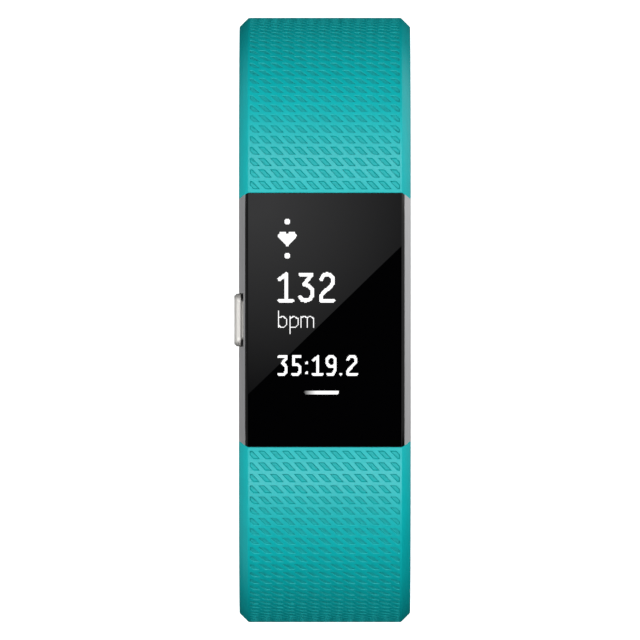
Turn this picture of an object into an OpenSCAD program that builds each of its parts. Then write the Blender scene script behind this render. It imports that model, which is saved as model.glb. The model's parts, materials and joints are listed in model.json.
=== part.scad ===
// Fitness tracker band: a display pod, two straps with release latches, a tang buckle and a keeper.
// X runs across the band, Y towards the upper strap and Z out of the display.
// The origin lies under the middle of the closed loop, at its lowest level.

/* [Band] */
// Width of the band and of the pod
band_w = 21.5; // [20:0.1:26]
// Width and depth of the 45 degree bevel along each top edge
bevel = 1.1; // [0.7:0.05:1.3]
// Thickness of both straps
strap_t = 2.2; // [1.9:0.05:2.6]
// Width of the straps where the buckle holds them
tail_w = 17; // [14:0.1:17.2]
// Depth of a strap's root where it meets the pod
root_t = 7.8; // [7.2:0.1:8.2]
// Outer radius of the strap beside the pod
shoulder_r = 22.7; // [20:0.1:30]
// Outer radius where the strap turns down
side_r = 24.5; // [20:0.1:32]
// Outer radius where the loop is longest
flank_r = 40; // [30:0.5:60]
// Outer radius below the flank
lower_r = 27; // [24:0.1:34]
// Outer radius of the turn on to the flat stretch
heel_r = 13; // [10:0.1:18]

/* [Pod] */
// Length of the pod along its top
pod_l = 31.8; // [30:0.1:40]
// Radius of the crown along the pod
crown_r = 190; // [150:5:400]
// Slant of the pod's ends, in degrees from upright
end_slant = 30; // [24:0.5:31]
// Depth of the metal case below the window's middle
case_d = 6.6; // [6.4:0.05:7.2]
// Thickness of the case's side walls
side_wall = 1.2; // [1:0.05:1.4]
// Thickness of the case's end walls
end_wall = 1.4; // [1.3:0.05:1.6]
// Thickness of the window at its middle
window_t = 1.7; // [1.5:0.05:2]
// Bevel along the window's edge
window_bevel = 0.3; // [0.2:0.05:0.4]
// Thickness of the window's gasket
window_gasket_t = 0.15; // [0.1:0.01:0.2]
// Thickness of the rear cover
cover_t = 1.75; // [1.6:0.05:2.1]
// Depth of the hollow in the rear cover
cover_hollow = 0.95; // [0.8:0.05:1.1]
// How far the sensor window stands out of the rear cover
sensor_bump = 0.8; // [0.4:0.05:1.2]
// Width of the sensor window
sensor_w = 10.4; // [9.4:0.1:11]
// Length of the sensor window
sensor_l = 9.2; // [8.8:0.1:10]

/* [Button] */
// Length of the side button
button_l = 6.6; // [5:0.1:8]
// Height of the side button
button_h = 2.4; // [2:0.1:2.6]
// How far the side button stands out of the case
button_out = 0.58; // [0.5:0.01:0.9]
// Depth of the well that the side button sits in
well_d = 0.55; // [0.5:0.01:0.6]
// Travel of the side button
button_travel = 0.25; // [0.2:0.05:0.4]

/* [Inside] */
// Width of the display panel
panel_w = 15.2; // [12:0.1:15.4]
// Length of the display panel
panel_l = 23; // [18:0.1:23]
// Thickness of the display panel
panel_t = 1; // [0.8:0.05:1]
// Width of the main board
board_w = 16.4; // [14:0.1:16.4]
// Length of the main board
board_l = 22; // [20:0.1:22.4]
// Thickness of the main board
board_t = 0.7; // [0.5:0.05:0.8]
// Width of the inner chassis
chassis_w = 13.7; // [12:0.1:13.7]
// Length of the inner chassis
chassis_l = 19.2; // [18:0.1:19.3]
// Thickness of the chassis plate and its rims
chassis_t = 0.5; // [0.4:0.05:0.6]
// Length of the battery
battery_l = 9.8; // [8:0.1:9.8]
// Thickness of the battery and the motor
battery_t = 2; // [1.6:0.05:2]
// Outer radius of the motor
motor_r = 3.5; // [3:0.05:3.6]

/* [Latch] */
// Width of a release latch
latch_w = 10; // [8:0.1:11]
// Thickness of a release latch
latch_t = 1.4; // [1.2:0.05:1.5]
// Travel of a release latch
latch_travel = 0.9; // [0.6:0.05:1]
// How far a latch's nose reaches into the case
latch_reach = 1; // [0.7:0.05:1.1]
// Depth of what lies between the strap root's upper face and a latch
latch_cover = 0.9336; // [0.8:0.0001:1.4]
// Width of a strap insert
insert_w = 16; // [14:0.1:18]

/* [Closure] */
// Radius of the spring bar's tube
bar_r = 0.75; // [0.7:0.01:0.85]
// Radius of the spring bar's tips
tip_r = 0.45; // [0.4:0.01:0.5]
// Travel of each spring bar tip
tip_travel = 1.2; // [1.1:0.05:1.4]
// Distance from the spring bar to the buckle's far bar
buckle_l = 12.6; // [12.4:0.1:14]
// Width of each arm of the buckle
arm_w = 1.5; // [1.2:0.05:1.8]
// Radius of the buckle's far bar
far_bar_r = 1.1; // [0.9:0.05:1.2]
// Width of the tongue
tongue_w = 2; // [1.6:0.1:2.2]
// Thickness of the tongue
tongue_t = 0.9; // [0.7:0.05:1]
// Length of a hole in the lower strap
hole_l = 6; // [5.8:0.1:6.4]
// Width of a hole in the lower strap
hole_w = 2.8; // [2.6:0.1:3.2]
// Distance between the holes
hole_pitch = 7.4; // [7:0.1:8]
// Length of the keeper
keeper_l = 5; // [4:0.1:6]
// Wall of the keeper
keeper_wall = 0.9; // [0.7:0.05:1.1]

/* [Clearances] */
// Gap between a strap and the pod
joint_gap = 0.04; // [0.02:0.01:0.1]
// Gap round parts that are set in a pocket
set_gap = 0.02; // [0.01:0.01:0.05]
// Gap round sliding parts
slide_gap = 0.05; // [0.04:0.01:0.08]
// Gap between the two layers of the closed strap
layer_gap = 0.35; // [0.3:0.01:0.4]
// Gap between the keeper and the straps
keeper_gap = 0.15; // [0.1:0.01:0.2]

/* [Hidden] */
$fn = 48;

teal = [0.02, 0.66, 0.68];
steel = [0.62, 0.62, 0.64];
half_w = band_w / 2;
half_tail = tail_w / 2;
start_heading = asin(pod_l / 2 / crown_r);
crown_drop = crown_r * (1 - cos(start_heading));
// Where the slanted end plane meets the level of the window's middle
end_y = pod_l / 2 + crown_drop * tan(end_slant);
// A leg is [outer radius, sweep in degrees], or [0, length] where the strap runs straight
loop_legs = [[shoulder_r, 52 - start_heading], [side_r, 17], [flank_r, 21], [lower_r, 60], [heel_r, 30]];
// A place is [y, z, heading]. The heading is 0 where the strap faces up, and grows along the strap
pod_end = [pod_l / 2, -crown_drop, start_heading];
loop_low = walk(pod_end, loop_legs, 5);
layer_step = strap_t + layer_gap;
top_z = -loop_low[1] + layer_step + keeper_gap + keeper_wall;
root_run_in = 5;
arc_step = 6;
root_sink = strap_t - 0.7;
// Spring bar and buckle, in the middle of the flat stretch
s_bend_l = 10.8;
s_bend_a = 2 * atan(layer_step / s_bend_l);
s_bend_r = s_bend_l / (2 * sin(s_bend_a));
bar_y = 4;
bar_z = loop_low[1] + strap_t / 2;
s_bend_y = bar_y - s_bend_l - 0.9;
// The lower strap's way from the flat stretch over the spring bar and round the upper strap
flat_l = loop_low[0] + s_bend_y;
tail_way = [[0, flat_l], [-s_bend_r + strap_t / 2, -s_bend_a], [s_bend_r + strap_t / 2, s_bend_a],
    [0, loop_low[0] - s_bend_y - s_bend_l]];
tail_up = [[heel_r + layer_step, 30], [lower_r + layer_step, 25]];
lower_legs = concat(loop_legs, tail_way, tail_up);
far_bar_z = loop_low[1] - slide_gap * 3 - far_bar_r;
far_bar_y = bar_y - sqrt(pow(buckle_l, 2) - pow(bar_z - far_bar_z, 2));
keeper_y = 11;
lug_gap = 0.2;
hole_shift = 1.6;
bar_lug_r = strap_t / 2 + 0.15;
bar_l = tail_w - 0.2;
arm_in = half_tail + 0.3;
tip_end = arm_in + tip_travel - 0.1;
tip_root = 1.3;
bar_bore_r = bar_r - 0.17;
// Levels inside the pod, as depths below the middle of the window
ledge_d = window_t + window_gasket_t;
panel_d = window_t;
chip_t = 0.7;
board_d = panel_d + panel_t + 0.4 + chip_t;
chassis_d = board_d + board_t;
battery_d = chassis_d + chassis_t + 0.05;
motor_y = chassis_l / 2 - chassis_t - motor_r - 0.4;
motor_wall = 0.2;
cavity_w = band_w - 2 * side_wall;
window_w = band_w - 2 * bevel + 2 * window_bevel;
gasket_seat = 0.55;
lip_t = 0.7;
lug_x = cavity_w / 2 - 1.5;
lug_y = 8.9;
lug_r = 1.15;
lug_h = 1.2;
lug_d = case_d - 0.5;
screw_r = 0.5;
cover_d = case_d + 0.05;
cover_low = cover_d + cover_t;
cover_floor = cover_d + cover_hollow;
sensor_d = battery_d + battery_t + 0.05;
sensor_board_t = 0.35;
emitter_t = 0.4;
button_d = 2.9;
stem_l = button_l - 1.6;
stem_h = 1.2;
flange_l = stem_l + 1.2;
flange_h = stem_h + 0.8;
flange_t = 0.5;
seal_t = 0.3;
// Latch and its channel, in a frame on the pod's end face that slopes down along the strap
latch_d = crown_drop + root_sink + latch_cover + latch_t / 2;
latch_slope = 4;
latch_l = 5.4;
spring_room = 1.8;
channel_l = latch_l + spring_room;
leaf_t = 0.2;

function step(p, leg) = leg[0] == 0
    ? [p[0] + leg[1] * cos(p[2]), p[1] - leg[1] * sin(p[2]), p[2]]
    : [p[0] + leg[0] * (sin(p[2] + leg[1]) - sin(p[2])),
       p[1] + leg[0] * (cos(p[2] + leg[1]) - cos(p[2])), p[2] + leg[1]];
function walk(p, legs, n) = n == 0 ? p : step(walk(p, legs, n - 1), legs[n - 1]);
function leg_l(leg) = leg[0] == 0 ? leg[1] : abs(leg[0] * leg[1]) * PI / 180;
function way_l(legs, n) = n == 0 ? 0 : way_l(legs, n - 1) + leg_l(legs[n - 1]);
function part_leg(leg, share) = [leg[0], leg[1] * share];
function place_at(p, legs, s, n = 0) = s > leg_l(legs[n])
    ? place_at(step(p, legs[n]), legs, s - leg_l(legs[n]), n + 1)
    : step(p, part_leg(legs[n], s / leg_l(legs[n])));
function sunk(p, depth) = [p[0] - depth * sin(p[2]), p[1] - depth * cos(p[2])];

// Lifts a shape drawn below the window's middle to its height above the origin
module lift() {
    translate([0, 0, top_z]) children();
}

// Box across the band, from one depth to another
module level_box(w, l, d0, d1, x = 0, y = 0) {
    translate([x - w / 2, y - l / 2, -d1]) cube([w, l, d1 - d0]);
}

// Upright cylinder from one depth to another
module level_disc(r, d0, d1, x = 0, y = 0) {
    translate([x, y, -d1]) cylinder(r = r, h = d1 - d0);
}

// Extrudes an outline drawn in the Y-Z plane across the band
module across(w) {
    rotate([90, 0, 90]) linear_extrude(w, center = true) children();
}

// Extrudes an outline drawn in the X-Z plane along the band
module lengthwise(l) {
    rotate([90, 0, 0]) linear_extrude(l, center = true) children();
}

module rounded_rect(w, l, r) {
    square([w - 2 * r, l], center = true);
    square([w, l - 2 * r], center = true);
    for (x = [-1, 1], y = [-1, 1]) translate([x * (w / 2 - r), y * (l / 2 - r)]) circle(r);
}

module slot_shape(l, w) {
    square([w, l - w], center = true);
    for (y = [-1, 1]) translate([0, y * (l - w) / 2]) circle(w / 2);
}

// Places along a path, one for each few degrees of an arc and one for each end of a straight leg
function leg_steps(leg) = leg[0] == 0 ? 1 : ceil(abs(leg[1]) / arc_step);
function stations(p, legs) = concat([for (i = [0:len(legs) - 1], k = [0:leg_steps(legs[i]) - 1])
    step(walk(p, legs, i), part_leg(legs[i], k / leg_steps(legs[i])))], [walk(p, legs, len(legs))]);

// Sweeps the straps' bevelled section along a path. It is wider than the strap, so that one cut squares its sides
module strap_sweep(p, legs) {
    w = half_w + 0.5;
    section = [[bevel - half_w, 0], [half_w - bevel, 0], [w, bevel + 0.5], [w, strap_t], [-w, strap_t],
        [-w, bevel + 0.5]];
    places = stations(p, legs);
    n = len(section);
    last = len(places) - 1;
    points = [for (at = places, c = section) [c[0], sunk(at, c[1])[0], sunk(at, c[1])[1]]];
    sides = [for (i = [0:last - 1], k = [0:n - 1]) let (m = (k + 1) % n)
        [i * n + k, (i + 1) * n + k, (i + 1) * n + m, i * n + m]];
    polyhedron(points, concat(sides, [[for (k = [0:n - 1]) k]], [[for (k = [n - 1:-1:0]) last * n + k]]));
}

// The space between the pod's two slanted ends, grown by a gap, from one depth to another
module pod_wedge(gap, d0, d1) {
    grow = gap / cos(end_slant);
    top = end_y + grow - d0 * tan(end_slant);
    low = end_y + grow - d1 * tan(end_slant);
    across(band_w + 10) polygon([[-top, -d0], [top, -d0], [low, -d1], [-low, -d1]]);
}

// The crowned body of the pod, with its bevelled edges
module crowned(w, edge) {
    half_a = start_heading + 1;
    translate([0, 0, -crown_r]) rotate([90, 0, 90]) rotate([0, 0, 90 - half_a])
    rotate_extrude(angle = 2 * half_a, $fn = 360) translate([crown_r, 0]) rotate(-90)
    polygon([[edge - w / 2, 0], [w / 2 - edge, 0], [w / 2, -edge], [w / 2, -12], [-w / 2, -12], [-w / 2, -edge]]);
}

module at_button() {
    translate([-half_w, 0, -button_d]) rotate([0, 90, 0]) children();
}

module display_window() {
    color("black") lift() intersection() {
        crowned(window_w, window_bevel);
        pod_wedge(0, -2, window_t);
    }
}

module window_gasket() {
    color("dimgray") lift() difference() {
        intersection() {
            level_box(window_w, pod_l, window_t, ledge_d);
            pod_wedge(-0.2, 0, ledge_d + 1);
        }
        intersection() {
            level_box(cavity_w, pod_l, 0, ledge_d + 1);
            pod_wedge(-end_wall, -1, ledge_d + 2);
        }
    }
}

module display_panel() {
    color("darkslategray") lift() level_box(panel_w, panel_l, panel_d, panel_d + panel_t);
}

module display_flex() {
    low = panel_d + panel_t;
    bend_r = (board_d - low) / 2;
    tape = 0.12;
    bend_y = -panel_l / 2 + 0.3;
    color("orange") lift() {
        level_box(6, 1.2, low, low + tape, 0, bend_y + 0.6);
        level_box(6, 1.2, board_d - tape, board_d, 0, bend_y + 0.6);
        translate([0, bend_y, -low - bend_r]) across(6) difference() {
            circle(bend_r);
            circle(bend_r - tape);
            translate([0, -bend_r * 2]) square([bend_r * 2, bend_r * 4]);
        }
    }
}

module latch_pocket() {
    at_latch() translate([-latch_w / 2 - slide_gap, -latch_reach - 0.1, -latch_t / 2 - slide_gap])
        cube([latch_w + 2 * slide_gap, 4, latch_t + 2 * slide_gap]);
}

module both_ends() {
    children();
    mirror([0, 1, 0]) children();
}

// The well for the button's head, open at the case's bevel
module button_well() {
    slot_shape(button_l + 2 * slide_gap, button_h + 2 * slide_gap);
    translate([-button_d / 2 - 0.5, 0]) square([button_d + 1, button_l + 2 * slide_gap], center = true);
}

module case_frame() {
    color(steel) lift() {
        difference() {
            intersection() {
                crowned(band_w, bevel);
                pod_wedge(0, -2, case_d);
            }
            level_box(window_w + 2 * set_gap, pod_l + 10, -5, ledge_d);
            intersection() {
                level_box(cavity_w, pod_l + 10, 0, case_d + 1);
                pod_wedge(-end_wall, 0, case_d + 1);
            }
            intersection() {
                level_box(cavity_w + 2 * gasket_seat, pod_l + 10, case_d - 0.5, case_d + 1);
                pod_wedge(gasket_seat - end_wall, 0, case_d + 1);
            }
            at_button() {
                translate([0, 0, -1]) linear_extrude(well_d + 1) button_well();
                linear_extrude(side_wall + 1) slot_shape(stem_l + 2 * slide_gap, stem_h + 2 * slide_gap);
            }
            both_ends() latch_pocket();
        }
        for (x = [-1, 1], y = [-1, 1]) difference() {
            intersection() {
                union() {
                    level_disc(lug_r, lug_d - lug_h, lug_d, x * lug_x, y * lug_y);
                    level_box(2, 2 * lug_r, lug_d - lug_h, lug_d, x * (lug_x + 1), y * lug_y);
                    level_box(2 * lug_r, 3, lug_d - lug_h, lug_d, x * lug_x, y * (lug_y + 1.5));
                }
                pod_wedge(-end_wall / 2, 0, case_d);
                level_box(cavity_w + side_wall, pod_l, 0, case_d);
            }
            level_disc(screw_r, lug_d - lug_h - 1, case_d, x * lug_x, y * lug_y);
        }
    }
}

module main_board() {
    color("darkgreen") lift() difference() {
        level_box(board_w, board_l, board_d, board_d + board_t);
        level_box(4, 9.2, board_d - 1, board_d + 2, -board_w / 2 + 0.9 - 2 + 0.2);
    }
}

module chip(w, l, x, y, c) {
    color(c) lift() level_box(w, l, board_d - chip_t, board_d, x, y);
}

module processor_chip() {
    chip(5, 5, 1.5, 4.5, "dimgray");
}

module memory_chip() {
    chip(3.4, 4, 2.2, -1.4, "dimgray");
}

module motion_chip() {
    chip(2.5, 3, -3.2, 7.4, "gray");
}

module radio_chip() {
    chip(3, 3, -2.8, -6.4, "silver");
}

module board_parts() {
    color("tan") lift() {
        for (i = [0:4]) level_box(0.6, 1, board_d - 0.4, board_d, 5.9, -6 + 1.7 * i);
        for (i = [0:3]) level_box(1, 0.6, board_d - 0.4, board_d, -3.2 + 1.7 * i, 1);
        for (i = [0:2]) level_box(0.6, 1, board_d - 0.4, board_d, -5, -8 + 1.7 * i);
    }
}

module antenna() {
    color("gold") lift() {
        level_box(12, 0.5, board_d - 0.5, board_d, 0, board_l / 2 - 0.5);
        level_box(0.5, 2.4, board_d - 0.5, board_d, 5.75, board_l / 2 - 1.7);
        level_box(0.5, 2.4, board_d - 0.5, board_d, -5.75, board_l / 2 - 1.7);
    }
}

module inner_chassis() {
    low = battery_d + battery_t;
    color("slategray") lift() difference() {
        union() {
            level_box(chassis_w, chassis_l, chassis_d, low);
            for (y = [-1, 1]) level_box(2 * lug_x + lug_r, 1.4, chassis_d, lug_d - lug_h, 0, y * lug_y);
        }
        level_box(chassis_w - 2 * chassis_t, chassis_l - 2 * chassis_t, chassis_d + chassis_t, low + 1);
        level_box(3.2, 2, chassis_d - 1, low + 1, 0, -chassis_l / 2);
    }
}

module battery() {
    w = chassis_w - 2 * chassis_t - 0.2;
    y = -chassis_l / 2 + chassis_t + 0.5 + battery_l / 2;
    color("silver") lift() translate([0, y, -battery_d - battery_t]) linear_extrude(battery_t)
        rounded_rect(w, battery_l, 0.6);
}

module battery_lead() {
    y = -chassis_l / 2 - 0.2;
    d = battery_d + 0.8;
    color("orange") lift() {
        level_box(3, 0.15, chassis_d, d, 0, y);
        translate([-1.5, y - 0.075, -d - 0.15]) cube([3, chassis_t + 0.775, 0.15]);
    }
}

module motor_can() {
    color("silver") lift() difference() {
        level_disc(motor_r, battery_d, battery_d + battery_t, 0, motor_y);
        level_disc(motor_r - motor_wall, battery_d + motor_wall, battery_d + battery_t + 1, 0, motor_y);
    }
}

module motor_plate() {
    low = battery_d + battery_t;
    color("silver") lift() level_disc(motor_r - motor_wall, low - motor_wall, low, 0, motor_y);
}

module motor_shaft() {
    color("gainsboro") lift()
        level_disc(0.3, battery_d + motor_wall, battery_d + battery_t - motor_wall, 0, motor_y);
}

module motor_rotor() {
    d0 = battery_d + motor_wall + 0.2;
    d1 = battery_d + battery_t - motor_wall - 0.2;
    color("goldenrod") lift() difference() {
        union() {
            level_disc(0.9, d0, d1, 0, motor_y);
            intersection() {
                level_disc(motor_r - motor_wall - 0.3, d0, d1, 0, motor_y);
                level_box(9, 5, d0, d1, 0, motor_y + 2.5);
            }
        }
        level_disc(0.35, d0 - 1, d1 + 1, 0, motor_y);
    }
}

module side_button() {
    edge = 0.2;
    seat = well_d - button_travel - slide_gap;
    color("gainsboro") lift() at_button() {
        translate([0, 0, edge - button_out]) linear_extrude(button_out + seat - edge) slot_shape(button_l, button_h);
        translate([0, 0, -button_out]) linear_extrude(edge + 0.1) slot_shape(button_l - 2 * edge, button_h - 2 * edge);
        linear_extrude(side_wall + seal_t + 0.1) slot_shape(stem_l, stem_h);
        translate([0, 0, side_wall + seal_t]) linear_extrude(flange_t) slot_shape(flange_l, flange_h);
    }
}

module button_seal() {
    color("dimgray") lift() at_button() translate([0, 0, side_wall]) linear_extrude(seal_t) difference() {
        slot_shape(flange_l, flange_h);
        slot_shape(stem_l + 4 * slide_gap, stem_h + 4 * slide_gap);
    }
}

module button_switch() {
    face = side_wall + seal_t + flange_t + button_travel + 0.05;
    color("gold") lift() at_button() {
        translate([-stem_h / 2 - 0.3, -1.6, face + 0.3]) cube([stem_h + 0.6, 3.2, 0.45]);
        translate([0, 0, face]) cylinder(r = stem_h / 2, h = 0.4);
    }
}

module sensor_board() {
    color("darkgreen") lift() level_box(9.6, 8.6, sensor_d, sensor_d + sensor_board_t);
}

module sensor_emitters() {
    d = sensor_d + sensor_board_t;
    color("lime") lift() for (y = [-1, 1]) level_box(1.5, 1.5, d, d + emitter_t, 0, y * 3);
}

module sensor_diodes() {
    d = sensor_d + sensor_board_t;
    color("midnightblue") lift() for (x = [-1, 1]) level_box(2, 2.4, d, d + emitter_t, x * 2.2);
}

module light_baffle() {
    d = sensor_d + sensor_board_t;
    color("black") lift() difference() {
        level_box(8.6, 8.2, d, d + emitter_t + 0.05);
        for (y = [-1, 1]) level_box(2, 1.8, d - 1, d + 2, 0, y * 3);
        level_box(7.4, 3, d - 1, d + 2);
    }
}

module sensor_window() {
    d = sensor_d + sensor_board_t + emitter_t + 0.1;
    bottom = cover_low + sensor_bump;
    color("black") lift() {
        translate([0, 0, -bottom + 0.4]) linear_extrude(bottom - 0.4 - d) rounded_rect(sensor_w, sensor_l, 2);
        translate([0, 0, -bottom]) linear_extrude(0.41) rounded_rect(sensor_w - 0.8, sensor_l - 0.8, 1.6);
    }
}

module rear_gasket() {
    color("dimgray") lift() difference() {
        intersection() {
            level_box(cavity_w + 2 * gasket_seat, pod_l, case_d - 0.5, case_d);
            pod_wedge(gasket_seat - end_wall, 0, case_d + 1);
        }
        intersection() {
            level_box(cavity_w, pod_l + 10, 0, case_d + 1);
            pod_wedge(-end_wall, 0, case_d + 1);
        }
    }
}

module rear_cover() {
    cut = 1.4;
    face_l = end_y - case_d * tan(end_slant) - 0.4;
    color("dimgray") lift() difference() {
        union() {
            intersection() {
                lengthwise(pod_l) polygon([[-half_w + 0.15, -cover_d], [half_w - 0.15, -cover_d],
                    [half_w - 0.15, -cover_low + cut], [half_w - 0.15 - cut, -cover_low],
                    [cut + 0.15 - half_w, -cover_low], [0.15 - half_w, cut - cover_low]]);
                across(band_w) polygon([[-face_l, -cover_d], [face_l, -cover_d], [face_l - 0.2, -cover_low + cut],
                    [face_l - 0.2 - cut, -cover_low], [cut + 0.2 - face_l, -cover_low],
                    [0.2 - face_l, cut - cover_low]]);
            }
            intersection() {
                level_box(cavity_w - 0.2, pod_l, case_d - 0.48, cover_d + 0.1);
                pod_wedge(-end_wall - 0.1, 0, cover_d + 1);
            }
        }
        difference() {
            level_box(cavity_w - 0.2 - 2 * lip_t, 2 * lug_y + 1.6, 0, cover_floor);
            for (x = [-1, 1], y = [-1, 1]) level_disc(lug_r, 0, cover_floor + 1, x * lug_x, y * lug_y);
        }
        translate([0, 0, -cover_low - 1]) linear_extrude(5)
            rounded_rect(sensor_w + 2 * set_gap, sensor_l + 2 * set_gap, 2 + set_gap);
        for (x = [-1, 1], y = [-1, 1]) {
            level_disc(screw_r + slide_gap, 0, cover_low + 1, x * lug_x, y * lug_y);
            level_disc(0.95, cover_low - 0.7, cover_low + 1, x * lug_x, y * lug_y);
        }
        for (x = [-1:1]) level_disc(0.8, 0, cover_low + 1, 2.6 * x, -7.2);
        level_disc(0.4, 0, cover_low + 1, 3.5, 7.2);
    }
}

module charge_contacts() {
    color("gold") lift() for (x = [-1:1]) level_disc(0.8, cover_floor - 0.3, cover_low + 0.05, 2.6 * x, -7.2);
}

module vent_membrane() {
    color("white") lift() level_disc(0.9, cover_floor - 0.2, cover_floor, 3.5, 7.2);
}

module cover_screws() {
    head = cover_low - 0.7;
    color("silver") lift() for (x = [-1, 1], y = [-1, 1]) {
        level_disc(screw_r, lug_d - lug_h + 0.1, head + 0.1, x * lug_x, y * lug_y);
        difference() {
            level_disc(0.9, head, cover_low - 0.15, x * lug_x, y * lug_y);
            level_box(0.25, 1.1, cover_low - 0.4, cover_low, x * lug_x, y * lug_y);
            level_box(1.1, 0.25, cover_low - 0.4, cover_low, x * lug_x, y * lug_y);
        }
    }
}

// The straps' width, full above the flank and narrowing to the buckle
module width_limit() {
    wide = pod_end[1] - 27;
    narrow = loop_low[1] + 7;
    lengthwise(200) polygon([[-half_w, 5], [half_w, 5], [half_w, wide], [half_tail, narrow],
        [half_tail, loop_low[1] - 10], [-half_tail, loop_low[1] - 10], [-half_tail, narrow], [-half_w, wide]]);
}

// The root's outline fills the space between the pod's end and the inner side of the strap
module root_outline() {
    tip = sunk(walk(pod_end, loop_legs, 2), root_sink);
    heading = walk(pod_end, loop_legs, 2)[2];
    corner = [end_y - root_t * tan(end_slant), -root_t];
    gap = corner - tip;
    r = -(gap * gap) / (2 * gap * [sin(heading), cos(heading)]);
    middle = tip - r * [sin(heading), cos(heading)];
    first = atan2(corner[1] - middle[1], corner[0] - middle[0]);
    last = 90 - heading;
    inner = [for (i = [0:24]) let (a = first + (last - first) * i / 24) middle + r * [cos(a), sin(a)]];
    outer = [for (leg = [2:-1:1], i = [1:8]) let (
        from = walk(pod_end, loop_legs, leg - 1),
        back = step(from, part_leg(loop_legs[leg - 1], 1 - i / 8)))
        sunk(back, root_sink)];
    polygon(concat([[0, -root_t]], inner, outer, [[0, -crown_drop - root_sink]]));
}

// One half of the loop with its root, then the legs that follow on the flat stretch
module strap_body(more) {
    heading = asin((pod_l / 2 - root_run_in) / crown_r);
    from = [crown_r * sin(heading), crown_r * (cos(heading) - 1), heading];
    strap_sweep(from, concat([[crown_r, start_heading - heading]], loop_legs, more));
    across(band_w + 1) root_outline();
}

// Places what is drawn in the latch's own frame: Y runs away from the pod along the latch
module at_latch() {
    translate([0, end_y - latch_d * tan(end_slant), -latch_d]) rotate([-latch_slope, 0, 0]) children();
}

module latch_box(w, y0, y1, z0, z1) {
    at_latch() translate([-w / 2, y0, z0]) cube([w, y1 - y0, z1 - z0]);
}

// The space that a strap insert takes: a block cut by the root's own outline
module insert_block(w, grow) {
    intersection() {
        latch_box(w + 2 * grow, -6, channel_l + 0.8 + grow, -5, latch_t / 2 + 0.7 + grow);
        across(band_w) root_outline();
    }
}

module insert_body() {
    difference() {
        insert_block(insert_w, 0);
        pod_wedge(joint_gap, -5, 14);
        latch_box(latch_w + 2 * slide_gap, -6, channel_l, -latch_t / 2 - slide_gap, latch_t / 2 + slide_gap);
        latch_box(latch_w - 4 + 2 * slide_gap, 2.2 - slide_gap, 4.8 + latch_travel + slide_gap, -6, 0);
    }
}

module latch_body() {
    root = latch_t / 2;
    latch_box(latch_w, -latch_reach, latch_l, -root, root);
    intersection() {
        latch_box(latch_w - 4, 2.2, 4.8, -6, 0);
        translate([0, 0, -0.05]) across(band_w) root_outline();
    }
}

// A bowed leaf that rests on the channel's end and pushes the latch towards the pod
module leaf_spring() {
    chord = latch_w - 1;
    rise = spring_room - leaf_t - 0.1;
    r = (pow(chord / 2, 2) + rise * rise) / (2 * rise);
    a = asin(chord / 2 / r);
    at_latch() translate([0, latch_l + 0.05 + r + leaf_t, -latch_t / 2 + 0.1])
        rotate([0, 0, 270 - a]) rotate_extrude(angle = 2 * a, $fn = 90) translate([r, 0]) square([leaf_t, latch_t - 0.2]);
}

// Places children on the lower strap's outer surface, facing out, in the lower strap's own mirrored frame
module on_place(p) {
    translate([0, p[0], p[1]]) rotate([-p[2], 0, 0]) children();
}

module strap_hole(p) {
    on_place(p) translate([0, 0, -strap_t - 0.5]) linear_extrude(strap_t + 1) slot_shape(hole_l, hole_w);
}

// Rounds the tail's tip
module tip_cut() {
    r = half_tail + 0.2;
    on_place(walk(pod_end, lower_legs, len(lower_legs))) difference() {
        translate([-15, -r, -7]) cube([30, r + 2, 12]);
        translate([0, -r, -8]) cylinder(r = r, h = 14);
    }
}

module pod_clearance() {
    pod_wedge(joint_gap, -5, 14);
}

module upper_strap() {
    color(teal) lift() difference() {
        intersection() {
            union() {
                strap_body([[0, loop_low[0] - bar_y]]);
                translate([0, bar_y, bar_z]) rotate([0, 90, 0]) cylinder(r = bar_lug_r, h = band_w, center = true);
            }
            width_limit();
        }
        pod_clearance();
        insert_block(insert_w, set_gap);
        translate([0, bar_y, bar_z]) rotate([0, 90, 0])
            cylinder(r = bar_r + slide_gap, h = band_w, center = true);
        translate([-tongue_w / 2 - lug_gap, bar_y - 4, bar_z - 3]) cube([tongue_w + 2 * lug_gap, 5.8, 6]);
    }
}

module lower_strap() {
    color(teal) lift() mirror([0, 1, 0]) difference() {
        intersection() {
            strap_body(concat(tail_way, tail_up));
            width_limit();
        }
        pod_clearance();
        insert_block(insert_w, set_gap);
        tip_cut();
        lower_holes();
    }
}

// The engaged hole lies in the middle of the double bend, and the others follow on both sides
module lower_holes() {
    engaged = way_l(lower_legs, len(loop_legs) + 2) + hole_shift;
    for (i = [-3:4]) strap_hole(place_at(pod_end, lower_legs, engaged + i * hole_pitch));
}

module upper_insert() {
    color("darkslategray") lift() insert_body();
}

module lower_insert() {
    color("darkslategray") lift() mirror([0, 1, 0]) insert_body();
}

module upper_latch() {
    color(steel) lift() latch_body();
}

module lower_latch() {
    color(steel) lift() mirror([0, 1, 0]) latch_body();
}

module upper_latch_spring() {
    color("silver") lift() leaf_spring();
}

module lower_latch_spring() {
    color("silver") lift() mirror([0, 1, 0]) leaf_spring();
}

module at_bar() {
    translate([0, bar_y, bar_z]) rotate([0, 90, 0]) children();
}

module spring_bar_tube() {
    color("silver") lift() at_bar() difference() {
        cylinder(r = bar_r, h = bar_l, center = true);
        cylinder(r = bar_bore_r, h = bar_l - 0.8, center = true);
        cylinder(r = tip_r + slide_gap / 2, h = bar_l + 1, center = true);
    }
}

module bar_tip(side) {
    head = bar_l / 2 - 0.45;
    color("gainsboro") lift() at_bar() mirror([0, 0, side]) {
        translate([0, 0, head - tip_root]) cylinder(r = bar_bore_r - 0.03, h = tip_root);
        translate([0, 0, head - 0.5]) cylinder(r = tip_r, h = tip_end - head + 0.5);
    }
}

module left_bar_tip() {
    bar_tip(1);
}

module right_bar_tip() {
    bar_tip(0);
}

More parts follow.
